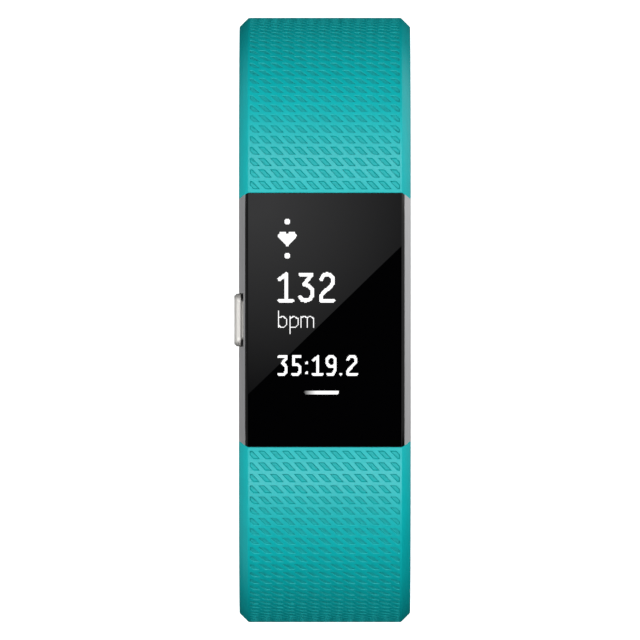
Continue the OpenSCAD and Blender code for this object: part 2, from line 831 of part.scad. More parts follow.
// Wire coil between the two tips
module bar_spring() {
    wire = 0.09;
    coil_r = bar_bore_r - wire - 0.06;
    turns = 9;
    per_turn = 12;
    sides = 6;
    span = bar_l - 2 * 0.45 - 2 * tip_root - 0.3;
    count = turns * per_turn;
    pitch = span / count;
    ring = [for (i = [0:count]) let (a = i * 360 / per_turn) [for (k = [0:sides - 1])
        let (b = k * 360 / sides, r = coil_r + wire * cos(b))
        [r * cos(a), r * sin(a), -span / 2 + i * pitch + wire * sin(b)]]];
    points = [for (row = ring, p = row) p];
    walls = [for (i = [0:count - 1], k = [0:sides - 1], half = [0, 1]) let (n = (k + 1) % sides)
        half == 0 ? [i * sides + k, (i + 1) * sides + k, (i + 1) * sides + n]
            : [i * sides + k, (i + 1) * sides + n, i * sides + n]];
    first = [for (k = [0:sides - 1]) k];
    last = [for (k = [sides - 1:-1:0]) count * sides + k];
    color("silver") lift() at_bar() polyhedron(points, concat(walls, [first, last]));
}

module buckle_frame() {
    lean = atan2(bar_z - far_bar_z, bar_y - far_bar_y);
    arm_h = 2 * far_bar_r + 0.2;
    color(steel) lift() {
        for (x = [-1, 1]) translate([x * (arm_in + arm_w / 2), bar_y, bar_z]) rotate([lean, 0, 0]) difference() {
            union() {
                translate([-arm_w / 2, -buckle_l, -arm_h / 2]) cube([arm_w, buckle_l, arm_h]);
                for (y = [0, -buckle_l]) translate([0, y, 0]) rotate([0, 90, 0])
                    cylinder(r = arm_h / 2, h = arm_w, center = true);
            }
            rotate([0, 90, 0]) cylinder(r = tip_r + slide_gap, h = arm_w + 1, center = true);
        }
        translate([0, far_bar_y, far_bar_z]) rotate([0, 90, 0])
            cylinder(r = far_bar_r, h = 2 * arm_in + arm_w, center = true);
    }
}

module buckle_tongue() {
    root_r = bar_r + slide_gap + 0.5;
    over = far_bar_r + tongue_t / 2 + slide_gap;
    lean = atan2(bar_z - far_bar_z, bar_y - far_bar_y) + asin(over / buckle_l);
    length = sqrt(buckle_l * buckle_l - over * over) + far_bar_r + 0.4;
    color(steel) lift() at_bar() difference() {
        union() {
            cylinder(r = root_r, h = tongue_w, center = true);
            rotate([0, -90, 0]) rotate([lean, 0, 0]) {
                translate([-tongue_w / 2, -length + tongue_w / 2, -tongue_t / 2])
                    cube([tongue_w, length - tongue_w / 2, tongue_t]);
                translate([0, -length + tongue_w / 2, -tongue_t / 2]) cylinder(r = tongue_w / 2, h = tongue_t);
            }
        }
        cylinder(r = bar_r + slide_gap, h = tongue_w + 1, center = true);
    }
}

module strap_keeper() {
    in_w = tail_w + 2 * keeper_gap + 0.1;
    top = loop_low[1] + strap_t + keeper_gap;
    low = loop_low[1] - layer_step - keeper_gap;
    h = top - low;
    color(teal) lift() translate([0, keeper_y, (top + low) / 2]) rotate([90, 0, 0])
        linear_extrude(keeper_l, center = true) difference() {
            rounded_rect(in_w + 2 * keeper_wall, h + 2 * keeper_wall, 0.9);
            square([in_w, h], center = true);
        }
}

display_window();
window_gasket();
display_panel();
display_flex();
case_frame();
main_board();
processor_chip();
memory_chip();
motion_chip();
radio_chip();
board_parts();
antenna();
inner_chassis();
battery();
battery_lead();
motor_can();
motor_plate();
motor_shaft();
motor_rotor();
side_button();
button_seal();
button_switch();
sensor_board();
sensor_emitters();
sensor_diodes();
light_baffle();
sensor_window();
rear_gasket();
rear_cover();
charge_contacts();
vent_membrane();
cover_screws();
upper_strap();
lower_strap();
upper_insert();
lower_insert();
upper_latch();
lower_latch();
upper_latch_spring();
lower_latch_spring();
spring_bar_tube();
left_bar_tip();
right_bar_tip();
bar_spring();
buckle_frame();
buckle_tongue();
strap_keeper();
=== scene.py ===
"""Looks of a fitness tracker band: moulded straps, a display pod with its lit display, lights and camera."""

import json
import logging
import math
from dataclasses import dataclass
from enum import Enum
from functools import cached_property
from typing import Any, Iterable, Mapping, Sequence

import bmesh
import bpy
from mathutils import Matrix, Vector
from mathutils.geometry import tessellate_polygon

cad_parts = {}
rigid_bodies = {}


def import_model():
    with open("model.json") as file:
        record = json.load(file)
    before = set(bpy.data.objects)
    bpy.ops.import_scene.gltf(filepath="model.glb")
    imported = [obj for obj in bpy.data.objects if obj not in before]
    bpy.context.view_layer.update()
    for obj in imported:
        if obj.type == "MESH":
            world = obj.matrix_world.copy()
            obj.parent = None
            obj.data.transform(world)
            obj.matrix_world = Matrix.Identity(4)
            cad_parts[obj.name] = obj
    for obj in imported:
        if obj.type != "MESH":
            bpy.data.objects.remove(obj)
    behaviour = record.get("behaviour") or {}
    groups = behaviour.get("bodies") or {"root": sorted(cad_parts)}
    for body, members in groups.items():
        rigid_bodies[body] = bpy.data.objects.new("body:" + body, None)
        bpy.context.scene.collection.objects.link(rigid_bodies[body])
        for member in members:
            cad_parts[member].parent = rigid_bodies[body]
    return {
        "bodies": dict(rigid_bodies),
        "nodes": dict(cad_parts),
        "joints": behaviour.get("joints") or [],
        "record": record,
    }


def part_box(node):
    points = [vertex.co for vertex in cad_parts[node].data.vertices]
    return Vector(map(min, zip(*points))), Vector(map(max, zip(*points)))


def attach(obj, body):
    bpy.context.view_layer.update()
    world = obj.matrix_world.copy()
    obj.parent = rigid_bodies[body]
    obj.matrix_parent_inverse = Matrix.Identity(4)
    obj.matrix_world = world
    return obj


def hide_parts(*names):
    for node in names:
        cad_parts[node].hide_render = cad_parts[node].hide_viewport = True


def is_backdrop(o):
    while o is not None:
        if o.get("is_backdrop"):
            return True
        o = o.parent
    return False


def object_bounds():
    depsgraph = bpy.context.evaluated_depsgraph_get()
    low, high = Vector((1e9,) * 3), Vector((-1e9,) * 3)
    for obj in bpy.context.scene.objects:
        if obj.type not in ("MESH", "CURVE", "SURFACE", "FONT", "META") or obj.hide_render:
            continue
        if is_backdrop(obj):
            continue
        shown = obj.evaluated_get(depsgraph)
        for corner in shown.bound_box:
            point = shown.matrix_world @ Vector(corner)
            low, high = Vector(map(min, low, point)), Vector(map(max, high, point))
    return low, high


MM = 0.001
FLOOR_GAP = 0.3 * MM
LOG = logging.getLogger("band")

Point2 = tuple[float, float]
Colour = tuple[float, float, float]
Socket = bpy.types.NodeSocket
Piece = bpy.types.Object
Shape = bmesh.types.BMesh


class Value:
    """A number socket that takes part in Python expressions."""

    def __init__(self, tree: bpy.types.NodeTree, socket: Socket) -> None:
        """Wraps a socket.

        Args:
            tree: The tree that the socket's node is in.
            socket: The output socket.
        """
        self.tree = tree
        self.socket = socket

    def math(self, operation: str, *terms: "Value | float") -> "Value":
        """Adds one Math node.

        Args:
            operation: The node's operation.
            terms: Its values, in order.

        Returns:
            The result.
        """
        node = self.tree.nodes.new("ShaderNodeMath")
        node.operation = operation
        for slot, term in zip(node.inputs, terms):
            if isinstance(term, Value):
                self.tree.links.new(term.socket, slot)
            else:
                slot.default_value = term
        return Value(self.tree, node.outputs[0])

    def __add__(self, other: "Value | float") -> "Value":
        """Sum."""
        return self.math("ADD", self, other)

    def __sub__(self, other: "Value | float") -> "Value":
        """Difference."""
        return self.math("SUBTRACT", self, other)

    def __rsub__(self, other: "Value | float") -> "Value":
        """Difference, reflected."""
        return self.math("SUBTRACT", other, self)

    def __mul__(self, other: "Value | float") -> "Value":
        """Product."""
        return self.math("MULTIPLY", self, other)

    __rmul__ = __mul__

    def __truediv__(self, other: "Value | float") -> "Value":
        """Quotient."""
        return self.math("DIVIDE", self, other)

    def __pow__(self, other: "Value | float") -> "Value":
        """Power."""
        return self.math("POWER", self, other)

    def clamped(self) -> "Value":
        """The value held between 0 and 1."""
        return self.math("MINIMUM", self.math("MAXIMUM", self, 0.0), 1.0)

    def ramp(self, start: "Value | float", width: "Value | float") -> "Value":
        """Rises from 0 at the start to 1 after the width."""
        return ((self - start) / width).clamped()


class Tree:
    """Adds nodes to a shader or geometry tree."""

    def __init__(self, tree: bpy.types.NodeTree) -> None:
        """Keeps the tree.

        Args:
            tree: The tree to add to.
        """
        self.tree = tree

    def node(
        self,
        kind: str,
        settings: Mapping[str, Any] | None = None,
        sockets: Mapping[str | int, Any] | None = None,
    ) -> bpy.types.Node:
        """Adds one node.

        Args:
            kind: The node's type.
            settings: Its properties, set first.
            sockets: Values or links of its input sockets.

        Returns:
            The node.
        """
        made = self.tree.nodes.new(kind)
        for name, setting in (settings or {}).items():
            setattr(made, name, setting)
        for name, value in (sockets or {}).items():
            socket = made.inputs[name]
            if isinstance(value, Value):
                value = value.socket
            if isinstance(value, Socket):
                self.tree.links.new(value, socket)
            else:
                socket.default_value = value
        return made

    def value(self, socket: Socket) -> Value:
        """Wraps a socket for expressions."""
        return Value(self.tree, socket)

    def blend(self, share: Value | float, first: Any, second: Any) -> Socket:
        """Mixes two colours.

        Args:
            share: How much of the second colour shows.
            first: A colour or a colour socket.
            second: A colour or a colour socket.

        Returns:
            The mixed colour's socket.
        """
        pair = {6: first, 7: second}
        pair = {k: (*v, 1.0) if isinstance(v, tuple) else v for k, v in pair.items()}
        made = self.node("ShaderNodeMix", {"data_type": "RGBA"}, {0: share, **pair})
        return made.outputs[2]

    def surface(self, shader: bpy.types.Node) -> None:
        """Makes a shader the material's surface."""
        self.node("ShaderNodeOutputMaterial", None, {"Surface": shader.outputs[0]})


def fresh_material(name: str) -> tuple[bpy.types.Material, Tree]:
    """Starts an empty material.

    Args:
        name: The material's name.

    Returns:
        The material, and its tree to add nodes to.
    """
    made = bpy.data.materials.new(name)
    made.use_nodes = True
    made.node_tree.nodes.clear()
    return made, Tree(made.node_tree)


def shaded(colour: Colour, amount: float) -> Colour:
    """Multiplies a colour.

    Args:
        colour: Linear red, green and blue.
        amount: The factor.

    Returns:
        The new colour.
    """
    return (colour[0] * amount, colour[1] * amount, colour[2] * amount)


@dataclass(frozen=True)
class Finish:
    """A surface finish with fine grain in its colour, gloss and relief."""

    name: str
    colour: Colour
    roughness: float = 0.5
    metallic: float = 0.0
    specular: float = 0.5
    grain: float = 9000.0
    stretch: Colour = (1.0, 1.0, 1.0)
    spread: float = 0.06
    gloss_spread: float = 0.08
    relief: float = 0.12
    relief_depth: float = 0.00002

    def material(self) -> bpy.types.Material:
        """Builds the material.

        Returns:
            The material.
        """
        made, tree = fresh_material(self.name)
        shader = tree.node(
            "ShaderNodeBsdfPrincipled",
            None,
            {"Metallic": self.metallic, "Specular IOR Level": self.specular},
        )
        self.dress(tree, shader)
        tree.surface(shader)
        return made

    def place(self, tree: Tree) -> Socket:
        """Object coordinates, stretched along the grain."""
        seat = tree.node("ShaderNodeTexCoord").outputs["Object"]
        return tree.node("ShaderNodeMapping", None, {"Vector": seat, "Scale": self.stretch}).outputs[0]

    def noise(self, tree: Tree, scale: float, detail: float = 3.0) -> Value:
        """Noise on the piece.

        Args:
            tree: The material's tree.
            scale: Cycles per metre.
            detail: Octaves.

        Returns:
            The noise, between 0 and 1.
        """
        made = tree.node(
            "ShaderNodeTexNoise", None, {"Vector": self.place(tree), "Scale": scale, "Detail": detail}
        )
        return tree.value(made.outputs[0])

    def base(self, tree: Tree) -> Socket:
        """The colour with its fine and broad variation.

        Args:
            tree: The material's tree.

        Returns:
            The colour's socket.
        """
        fine = self.noise(tree, self.grain)
        broad = self.noise(tree, self.grain * 0.04, 2.0)
        share = (fine * 0.5 + broad * 0.5).ramp(0.3, 0.4)
        return tree.blend(share, shaded(self.colour, 1 - self.spread), shaded(self.colour, 1 + self.spread))

    def dullness(self, tree: Tree) -> Value:
        """The roughness with its fine variation."""
        level = self.roughness - self.gloss_spread
        return self.noise(tree, self.grain * 0.3) * (2 * self.gloss_spread) + level

    def height(self, tree: Tree) -> Value:
        """The relief's height."""
        return self.noise(tree, self.grain)

    def dress(self, tree: Tree, shader: bpy.types.Node) -> None:
        """Links what varies to the shader.

        Args:
            tree: The material's tree.
            shader: The surface shader.
        """
        tree.tree.links.new(self.base(tree), shader.inputs["Base Color"])
        tree.tree.links.new(self.dullness(tree).clamped().socket, shader.inputs["Roughness"])
        bump = tree.node(
            "ShaderNodeBump",
            None,
            {"Strength": self.relief, "Distance": self.relief_depth, "Height": self.height(tree)},
        )
        tree.tree.links.new(bump.outputs[0], shader.inputs["Normal"])


@dataclass(frozen=True)
class PocketRubber(Finish):
    """Moulded elastomer with painted shade in its pockets: its colour darkens towards the pockets' walls and
    floors.
    """

    pocket: Colour = (0.0, 0.3, 0.3)
    pocket_dull: float = 0.8

    @staticmethod
    def inside(tree: Tree) -> Value:
        """How much painted shade a point gets from its pocket, a weight between 0 and 1 that also raises the
        roughness.
        """
        return tree.value(tree.node("ShaderNodeAttribute", {"attribute_name": "pocket"}).outputs["Fac"])

    def base(self, tree: Tree) -> Socket:
        """The strap's colour, with painted shade darkening it towards the pockets' walls and floors."""
        return tree.blend(self.inside(tree), Finish.base(self, tree), self.pocket)

    def dullness(self, tree: Tree) -> Value:
        """The roughness, greater inside the pockets."""
        return Finish.dullness(self, tree) + self.inside(tree) * self.pocket_dull


@dataclass(frozen=True)
class CircuitFinish(Finish):
    """Solder mask with copper tracks under it."""

    track: Colour = (0.05, 0.2, 0.06)
    tracks: float = 900.0
    narrowness: float = 12.0

    def base(self, tree: Tree) -> Socket:
        """Mask and tracks.

        Args:
            tree: The material's tree.

        Returns:
            The colour's socket.
        """
        plain = Finish.base(self, tree)
        cells = tree.node(
            "ShaderNodeTexVoronoi",
            {"feature": "DISTANCE_TO_EDGE", "distance": "EUCLIDEAN"},
            {"Vector": self.place(tree), "Scale": self.tracks, "Randomness": 0.35},
        )
        near = 1 - (tree.value(cells.outputs["Distance"]) * self.narrowness).clamped()
        return tree.blend(near, plain, self.track)


@dataclass(frozen=True)
class FoilFinish(Finish):
    """Crinkled foil of a pouch cell."""

    creases: float = 700.0
    crease_depth: float = 4.0

    def height(self, tree: Tree) -> Value:
        """Broad creases under the fine grain.

        Args:
            tree: The material's tree.

        Returns:
            The relief's height.
        """
        sockets = {"Vector": self.place(tree), "Scale": self.creases}
        cells = tree.node("ShaderNodeTexVoronoi", {"feature": "F1"}, sockets)
        return tree.value(cells.outputs["Distance"]) * self.crease_depth + Finish.height(self, tree)


@dataclass(frozen=True)
class GlowFinish:
    """A lit part of the display."""

    name: str
    fade_from: float = -1.0
    fade_to: float = -0.9
    strength: float = 1.15

    def material(self) -> bpy.types.Material:
        """Builds the material; the light grows along X between the two places.

        Returns:
            The material.
        """
        made, tree = fresh_material(self.name)
        seat = tree.node("ShaderNodeTexCoord").outputs["Object"]
        across = tree.value(tree.node("ShaderNodeSeparateXYZ", None, {0: seat}).outputs[0])
        share = across.ramp(self.fade_from, self.fade_to - self.fade_from)
        glow = tree.blend(share, (0.0, 0.0, 0.0), (1.0, 1.0, 1.0))
        shader = tree.node(
            "ShaderNodeBsdfPrincipled",
            None,
            {
                "Base Color": (0.01, 0.01, 0.01, 1.0),
                "Roughness": 0.3,
                "Emission Color": glow,
                "Emission Strength": self.strength,
            },
        )
        tree.surface(shader)
        return made


TEAL = (0.0025, 0.53, 0.545)


class Look(Enum):
    """Every finish of the band and of what is inside it."""

    STRAP = PocketRubber(
        "strap_elastomer", TEAL, 0.36, specular=0.5, grain=7000.0, spread=0.05, relief=0.2,
        # The darker teal here is painted shade for the pockets' walls and floors.
        pocket=(0.0003, 0.36, 0.355), pocket_dull=0.8,
    )
    KEEPER = Finish("keeper_elastomer", TEAL, 0.46, grain=7000.0, spread=0.05, relief=0.2)
    GLASS = Finish(
        "window_glass", (0.0006, 0.0006, 0.0008), 0.0, specular=0.5, grain=500.0, gloss_spread=0.0,
        spread=0.1, relief=0.0,
    )
    CASE = Finish(
        "satin_steel", (0.86, 0.86, 0.87), 0.48, 1.0, grain=5000.0, stretch=(1.0, 0.06, 1.0),
        spread=0.05, gloss_spread=0.05, relief=0.12,
    )
    BUTTON = Finish(
        "button_steel", (0.93, 0.91, 0.87), 0.45, 0.6, grain=5000.0, stretch=(1.0, 0.05, 1.0),
        spread=0.04, gloss_spread=0.04, relief=0.08,
    )
    BUCKLE = Finish(
        "buckle_steel", (0.6, 0.6, 0.61), 0.26, 1.0, grain=4000.0, stretch=(1.0, 0.08, 1.0),
        spread=0.05, gloss_spread=0.06, relief=0.12,
    )
    SPRING = Finish("spring_steel", (0.5, 0.5, 0.52), 0.22, 1.0, grain=6000.0, relief=0.06)
    TUNGSTEN = Finish("rotor_tungsten", (0.3, 0.3, 0.31), 0.42, 1.0, grain=12000.0, relief=0.3)
    CAN = Finish("plated_steel", (0.68, 0.67, 0.65), 0.2, 1.0, grain=3000.0, relief=0.05)
    GOLD = Finish("gold_plate", (0.86, 0.6, 0.24), 0.22, 1.0, grain=5000.0, relief=0.06)
    COVER = Finish("rear_plastic", (0.018, 0.018, 0.02), 0.42, grain=11000.0, spread=0.2, relief=0.3)
    INSERT = Finish("insert_plastic", (0.035, 0.04, 0.045), 0.5, grain=9000.0, spread=0.15, relief=0.3)
    CHASSIS = Finish("chassis_plastic", (0.12, 0.12, 0.13), 0.55, grain=8000.0, spread=0.12, relief=0.3)
    LENS = Finish(
        "sensor_lens", (0.012, 0.006, 0.008), 0.06, specular=0.6, grain=600.0, spread=0.2,
        gloss_spread=0.02, relief=0.0,
    )
    GASKET = Finish("gasket_silicone", (0.05, 0.05, 0.055), 0.62, grain=9000.0, spread=0.15, relief=0.25)
    PANEL = Finish("display_panel", (0.008, 0.009, 0.012), 0.12, grain=6000.0, spread=0.3, relief=0.02)
    BOARD = CircuitFinish("circuit_board", (0.01, 0.09, 0.03), 0.35, grain=4000.0, relief=0.15)
    CHIP = Finish("chip_epoxy", (0.02, 0.02, 0.022), 0.48, grain=15000.0, spread=0.25, relief=0.25)
    FLEX = Finish("flex_polyimide", (0.55, 0.2, 0.03), 0.3, grain=3000.0, spread=0.12, relief=0.1)
    FOIL = FoilFinish("cell_foil", (0.66, 0.67, 0.68), 0.3, 1.0, grain=2500.0, relief=0.4)
    EMITTER = Finish("emitter_lens", (0.1, 0.75, 0.2), 0.15, grain=5000.0, relief=0.05)
    DIODE = Finish("diode_silicon", (0.02, 0.02, 0.05), 0.1, specular=0.7, grain=8000.0, relief=0.03)
    MEMBRANE = Finish("vent_membrane", (0.75, 0.75, 0.74), 0.8, grain=14000.0, relief=0.6)
    PARTS = Finish("ceramic_parts", (0.42, 0.32, 0.24), 0.5, grain=3000.0, spread=0.35, relief=0.1)
    PIXELS = GlowFinish("lit_pixels")
    SWEEP = GlowFinish("lit_sweep", -2.6 * MM, -0.9 * MM)


class Wardrobe:
    """Hands out each finish's material, built once."""

    NODES: dict[Look, tuple[str, ...]] = {
        Look.GLASS: ("display_window",),
        Look.CASE: ("case_frame",),
        Look.BUTTON: ("side_button",),
        Look.BUCKLE: ("buckle_frame", "buckle_tongue", "upper_latch", "lower_latch"),
        Look.SPRING: (
            "upper_latch_spring", "lower_latch_spring", "spring_bar_tube", "left_bar_tip",
            "right_bar_tip", "bar_spring", "motor_shaft", "cover_screws",
        ),
        Look.TUNGSTEN: ("motor_rotor",),
        Look.CAN: ("motor_can", "motor_plate", "radio_chip"),
        Look.GOLD: ("charge_contacts", "antenna"),
        Look.COVER: ("rear_cover",),
        Look.INSERT: ("upper_insert", "lower_insert"),
        Look.CHASSIS: ("inner_chassis", "light_baffle", "button_switch"),
        Look.LENS: ("sensor_window",),
        Look.GASKET: ("window_gasket", "rear_gasket", "button_seal"),
        Look.PANEL: ("display_panel",),
        Look.BOARD: ("main_board", "sensor_board"),
        Look.CHIP: ("processor_chip", "memory_chip", "motion_chip"),
        Look.FLEX: ("display_flex", "battery_lead"),
        Look.FOIL: ("battery",),
        Look.EMITTER: ("sensor_emitters",),
        Look.DIODE: ("sensor_diodes",),
        Look.MEMBRANE: ("vent_membrane",),
        Look.PARTS: ("board_parts",),
        Look.KEEPER: ("strap_keeper",),
        Look.STRAP: ("upper_strap", "lower_strap"),
    }

    def __init__(self) -> None:
        """Starts with nothing built."""
        self.built: dict[Look, bpy.types.Material] = {}

    def get(self, look: Look) -> bpy.types.Material:
        """The look's material, built the first time.

        Args:
            look: The finish.

        Returns:
            Its material.
        """
        if look not in self.built:
            self.built[look] = look.value.material()
        return self.built[look]

    def dress_frame(self, nodes: Mapping[str, Piece]) -> None:
        """Gives every node its finish.

        Args:
            nodes: The frame's nodes by name.
        """
        for look, names in self.NODES.items():
            for name in names:
                for slot in nodes[name].material_slots:
                    slot.material = self.get(look)
        left = set(nodes) - {name for names in self.NODES.values() for name in names}
        LOG.info("dressed %d nodes, without a finish: %s", len(nodes), sorted(left))


@dataclass(frozen=True)
class Place:
    """A point of the strap's outer surface, in mm, with its heading in degrees down from level."""

    y: float
    z: float
    heading: float

    def along(self) -> Point2:
        """Unit direction along the strap."""
        a = math.radians(self.heading)
        return (math.cos(a), -math.sin(a))

    def out(self) -> Point2:
        """Unit direction out of the surface."""
        a = math.radians(self.heading)
        return (math.sin(a), math.cos(a))

    def inside(self, depth: float, shift: float = 0.0) -> Point2:
        """A point under the surface.

        Args:
            depth: Distance under the surface.
            shift: Distance further along.

        Returns:
            Y and Z.
        """
        t, n = self.along(), self.out()
        return (self.y + shift * t[0] - depth * n[0], self.z + shift * t[1] - depth * n[1])


@dataclass(frozen=True)
class Leg:
    """One stretch of a path: an arc of a radius and a sweep in degrees, or a straight length."""

    radius: float
    sweep: float

    def length(self) -> float:
        """Length in mm."""
        return self.sweep if self.radius == 0 else abs(math.radians(self.sweep) * self.radius)

    def walk(self, start: Place, share: float) -> Place:
        """Where a share of the leg leads.

        Args:
            start: The leg's start.
            share: How much of it is walked.

        Returns:
            The place reached.
        """
        way = self.sweep * share
        if self.radius == 0:
            t = start.along()
            return Place(start.y + way * t[0], start.z + way * t[1], start.heading)
        a, b = math.radians(start.heading), math.radians(start.heading + way)
        return Place(
            start.y + self.radius * (math.sin(b) - math.sin(a)),
            start.z + self.radius * (math.cos(b) - math.cos(a)),
            start.heading + way,
        )


@dataclass(frozen=True)
class Path:
    """A strap's way round the wrist."""

    start: Place
    legs: tuple[Leg, ...]

    def length(self) -> float:
        """Whole length in mm."""
        return sum(leg.length() for leg in self.legs)

    def at(self, way: float) -> Place:
        """Finds a place on the path, which runs on straight after its end.

        Args:
            way: The distance along the path, in mm.

        Returns:
            The place.
        """
        here = self.start
        for leg in self.legs:
            if way <= leg.length():
                return leg.walk(here, way / leg.length())
            way -= leg.length()
            here = leg.walk(here, 1.0)
        return Leg(0, 1.0).walk(here, way)


@dataclass(frozen=True)
class LoopSizes:
    """Sizes of the band in mm, shared by both straps."""

    pod_l: float = 31.8
    crown_r: float = 190.0
    end_slant: float = 30.0
    band_w: float = 21.5
    tail_w: float = 17.0
    bevel: float = 1.1
    strap_t: float = 2.2
    root_t: float = 7.8
    root_sink: float = 1.5
    layer_step: float = 2.55
    joint_gap: float = 0.05
    shoulder_r: float = 22.7
    side_r: float = 24.5
    flank_r: float = 40.0
    lower_r: float = 27.0
    heel_r: float = 13.0
    bar_y: float = 4.0
    bend_l: float = 10.8
    bend_gap: float = 0.9
    top_z: float = 58.6741
    wide_z: float = 30.9
    narrow_z: float = 10.6

    def pod_end(self) -> Place:
        """Where the strap's outer surface meets the pod."""
        heading = math.degrees(math.asin(self.pod_l / 2 / self.crown_r))
        return Place(self.pod_l / 2, self.top_z - self.drop(), heading)

    def drop(self) -> float:
        """How far the crown falls from the pod's middle to its end."""
        return self.crown_r * (1 - math.cos(math.asin(self.pod_l / 2 / self.crown_r)))

    def end_at(self, depth: float) -> Vector:
        """A point of the pod's slanted end face.

        Args:
            depth: Its depth below the window's middle.

        Returns:
            Y and Z.
        """
        slant = math.tan(math.radians(self.end_slant))
        return Vector((self.pod_l / 2 + (self.drop() - depth) * slant, self.top_z - depth))

    def loop_legs(self) -> tuple[Leg, ...]:
        """The arcs from the pod to the flat stretch."""
        radii = (self.shoulder_r, self.side_r, self.flank_r, self.lower_r, self.heel_r)
        return tuple(map(Leg, radii, (52 - self.pod_end().heading, 17.0, 21.0, 60.0, 30.0)))

    def upper_path(self) -> Path:
        """The upper strap's path, up to the spring bar.

        Returns:
            The path.
        """
        low = Path(self.pod_end(), self.loop_legs())
        end = low.at(low.length())
        return Path(low.start, low.legs + (Leg(0, end.y - self.bar_y),))

    def lower_path(self) -> Path:
        """The lower strap's path, over the spring bar and round the upper strap.

        Returns:
            The path.
        """
        low = Path(self.pod_end(), self.loop_legs())
        end = low.at(low.length())
        bend_y = self.bar_y - self.bend_l - self.bend_gap
        angle = 2 * math.degrees(math.atan(self.layer_step / self.bend_l))
        r = self.bend_l / (2 * math.sin(math.radians(angle)))
        half = self.strap_t / 2
        tail = (
            Leg(0, end.y + bend_y),
            Leg(half - r, -angle),
            Leg(half + r, angle),
            Leg(0, end.y - bend_y - self.bend_l),
            Leg(self.heel_r + self.layer_step, 30.0),
            Leg(self.lower_r + self.layer_step, 25.0),
        )
        return Path(low.start, low.legs + tail)

    def taper(self, z: float) -> float:
        """Width at a height, as a share of the full width.

        Args:
            z: The height in mm.

        Returns:
            The share.
        """
        narrow = self.tail_w / self.band_w
        share = (z - self.narrow_z) / (self.wide_z - self.narrow_z)
        return narrow + (1 - narrow) * min(max(share, 0.0), 1.0)


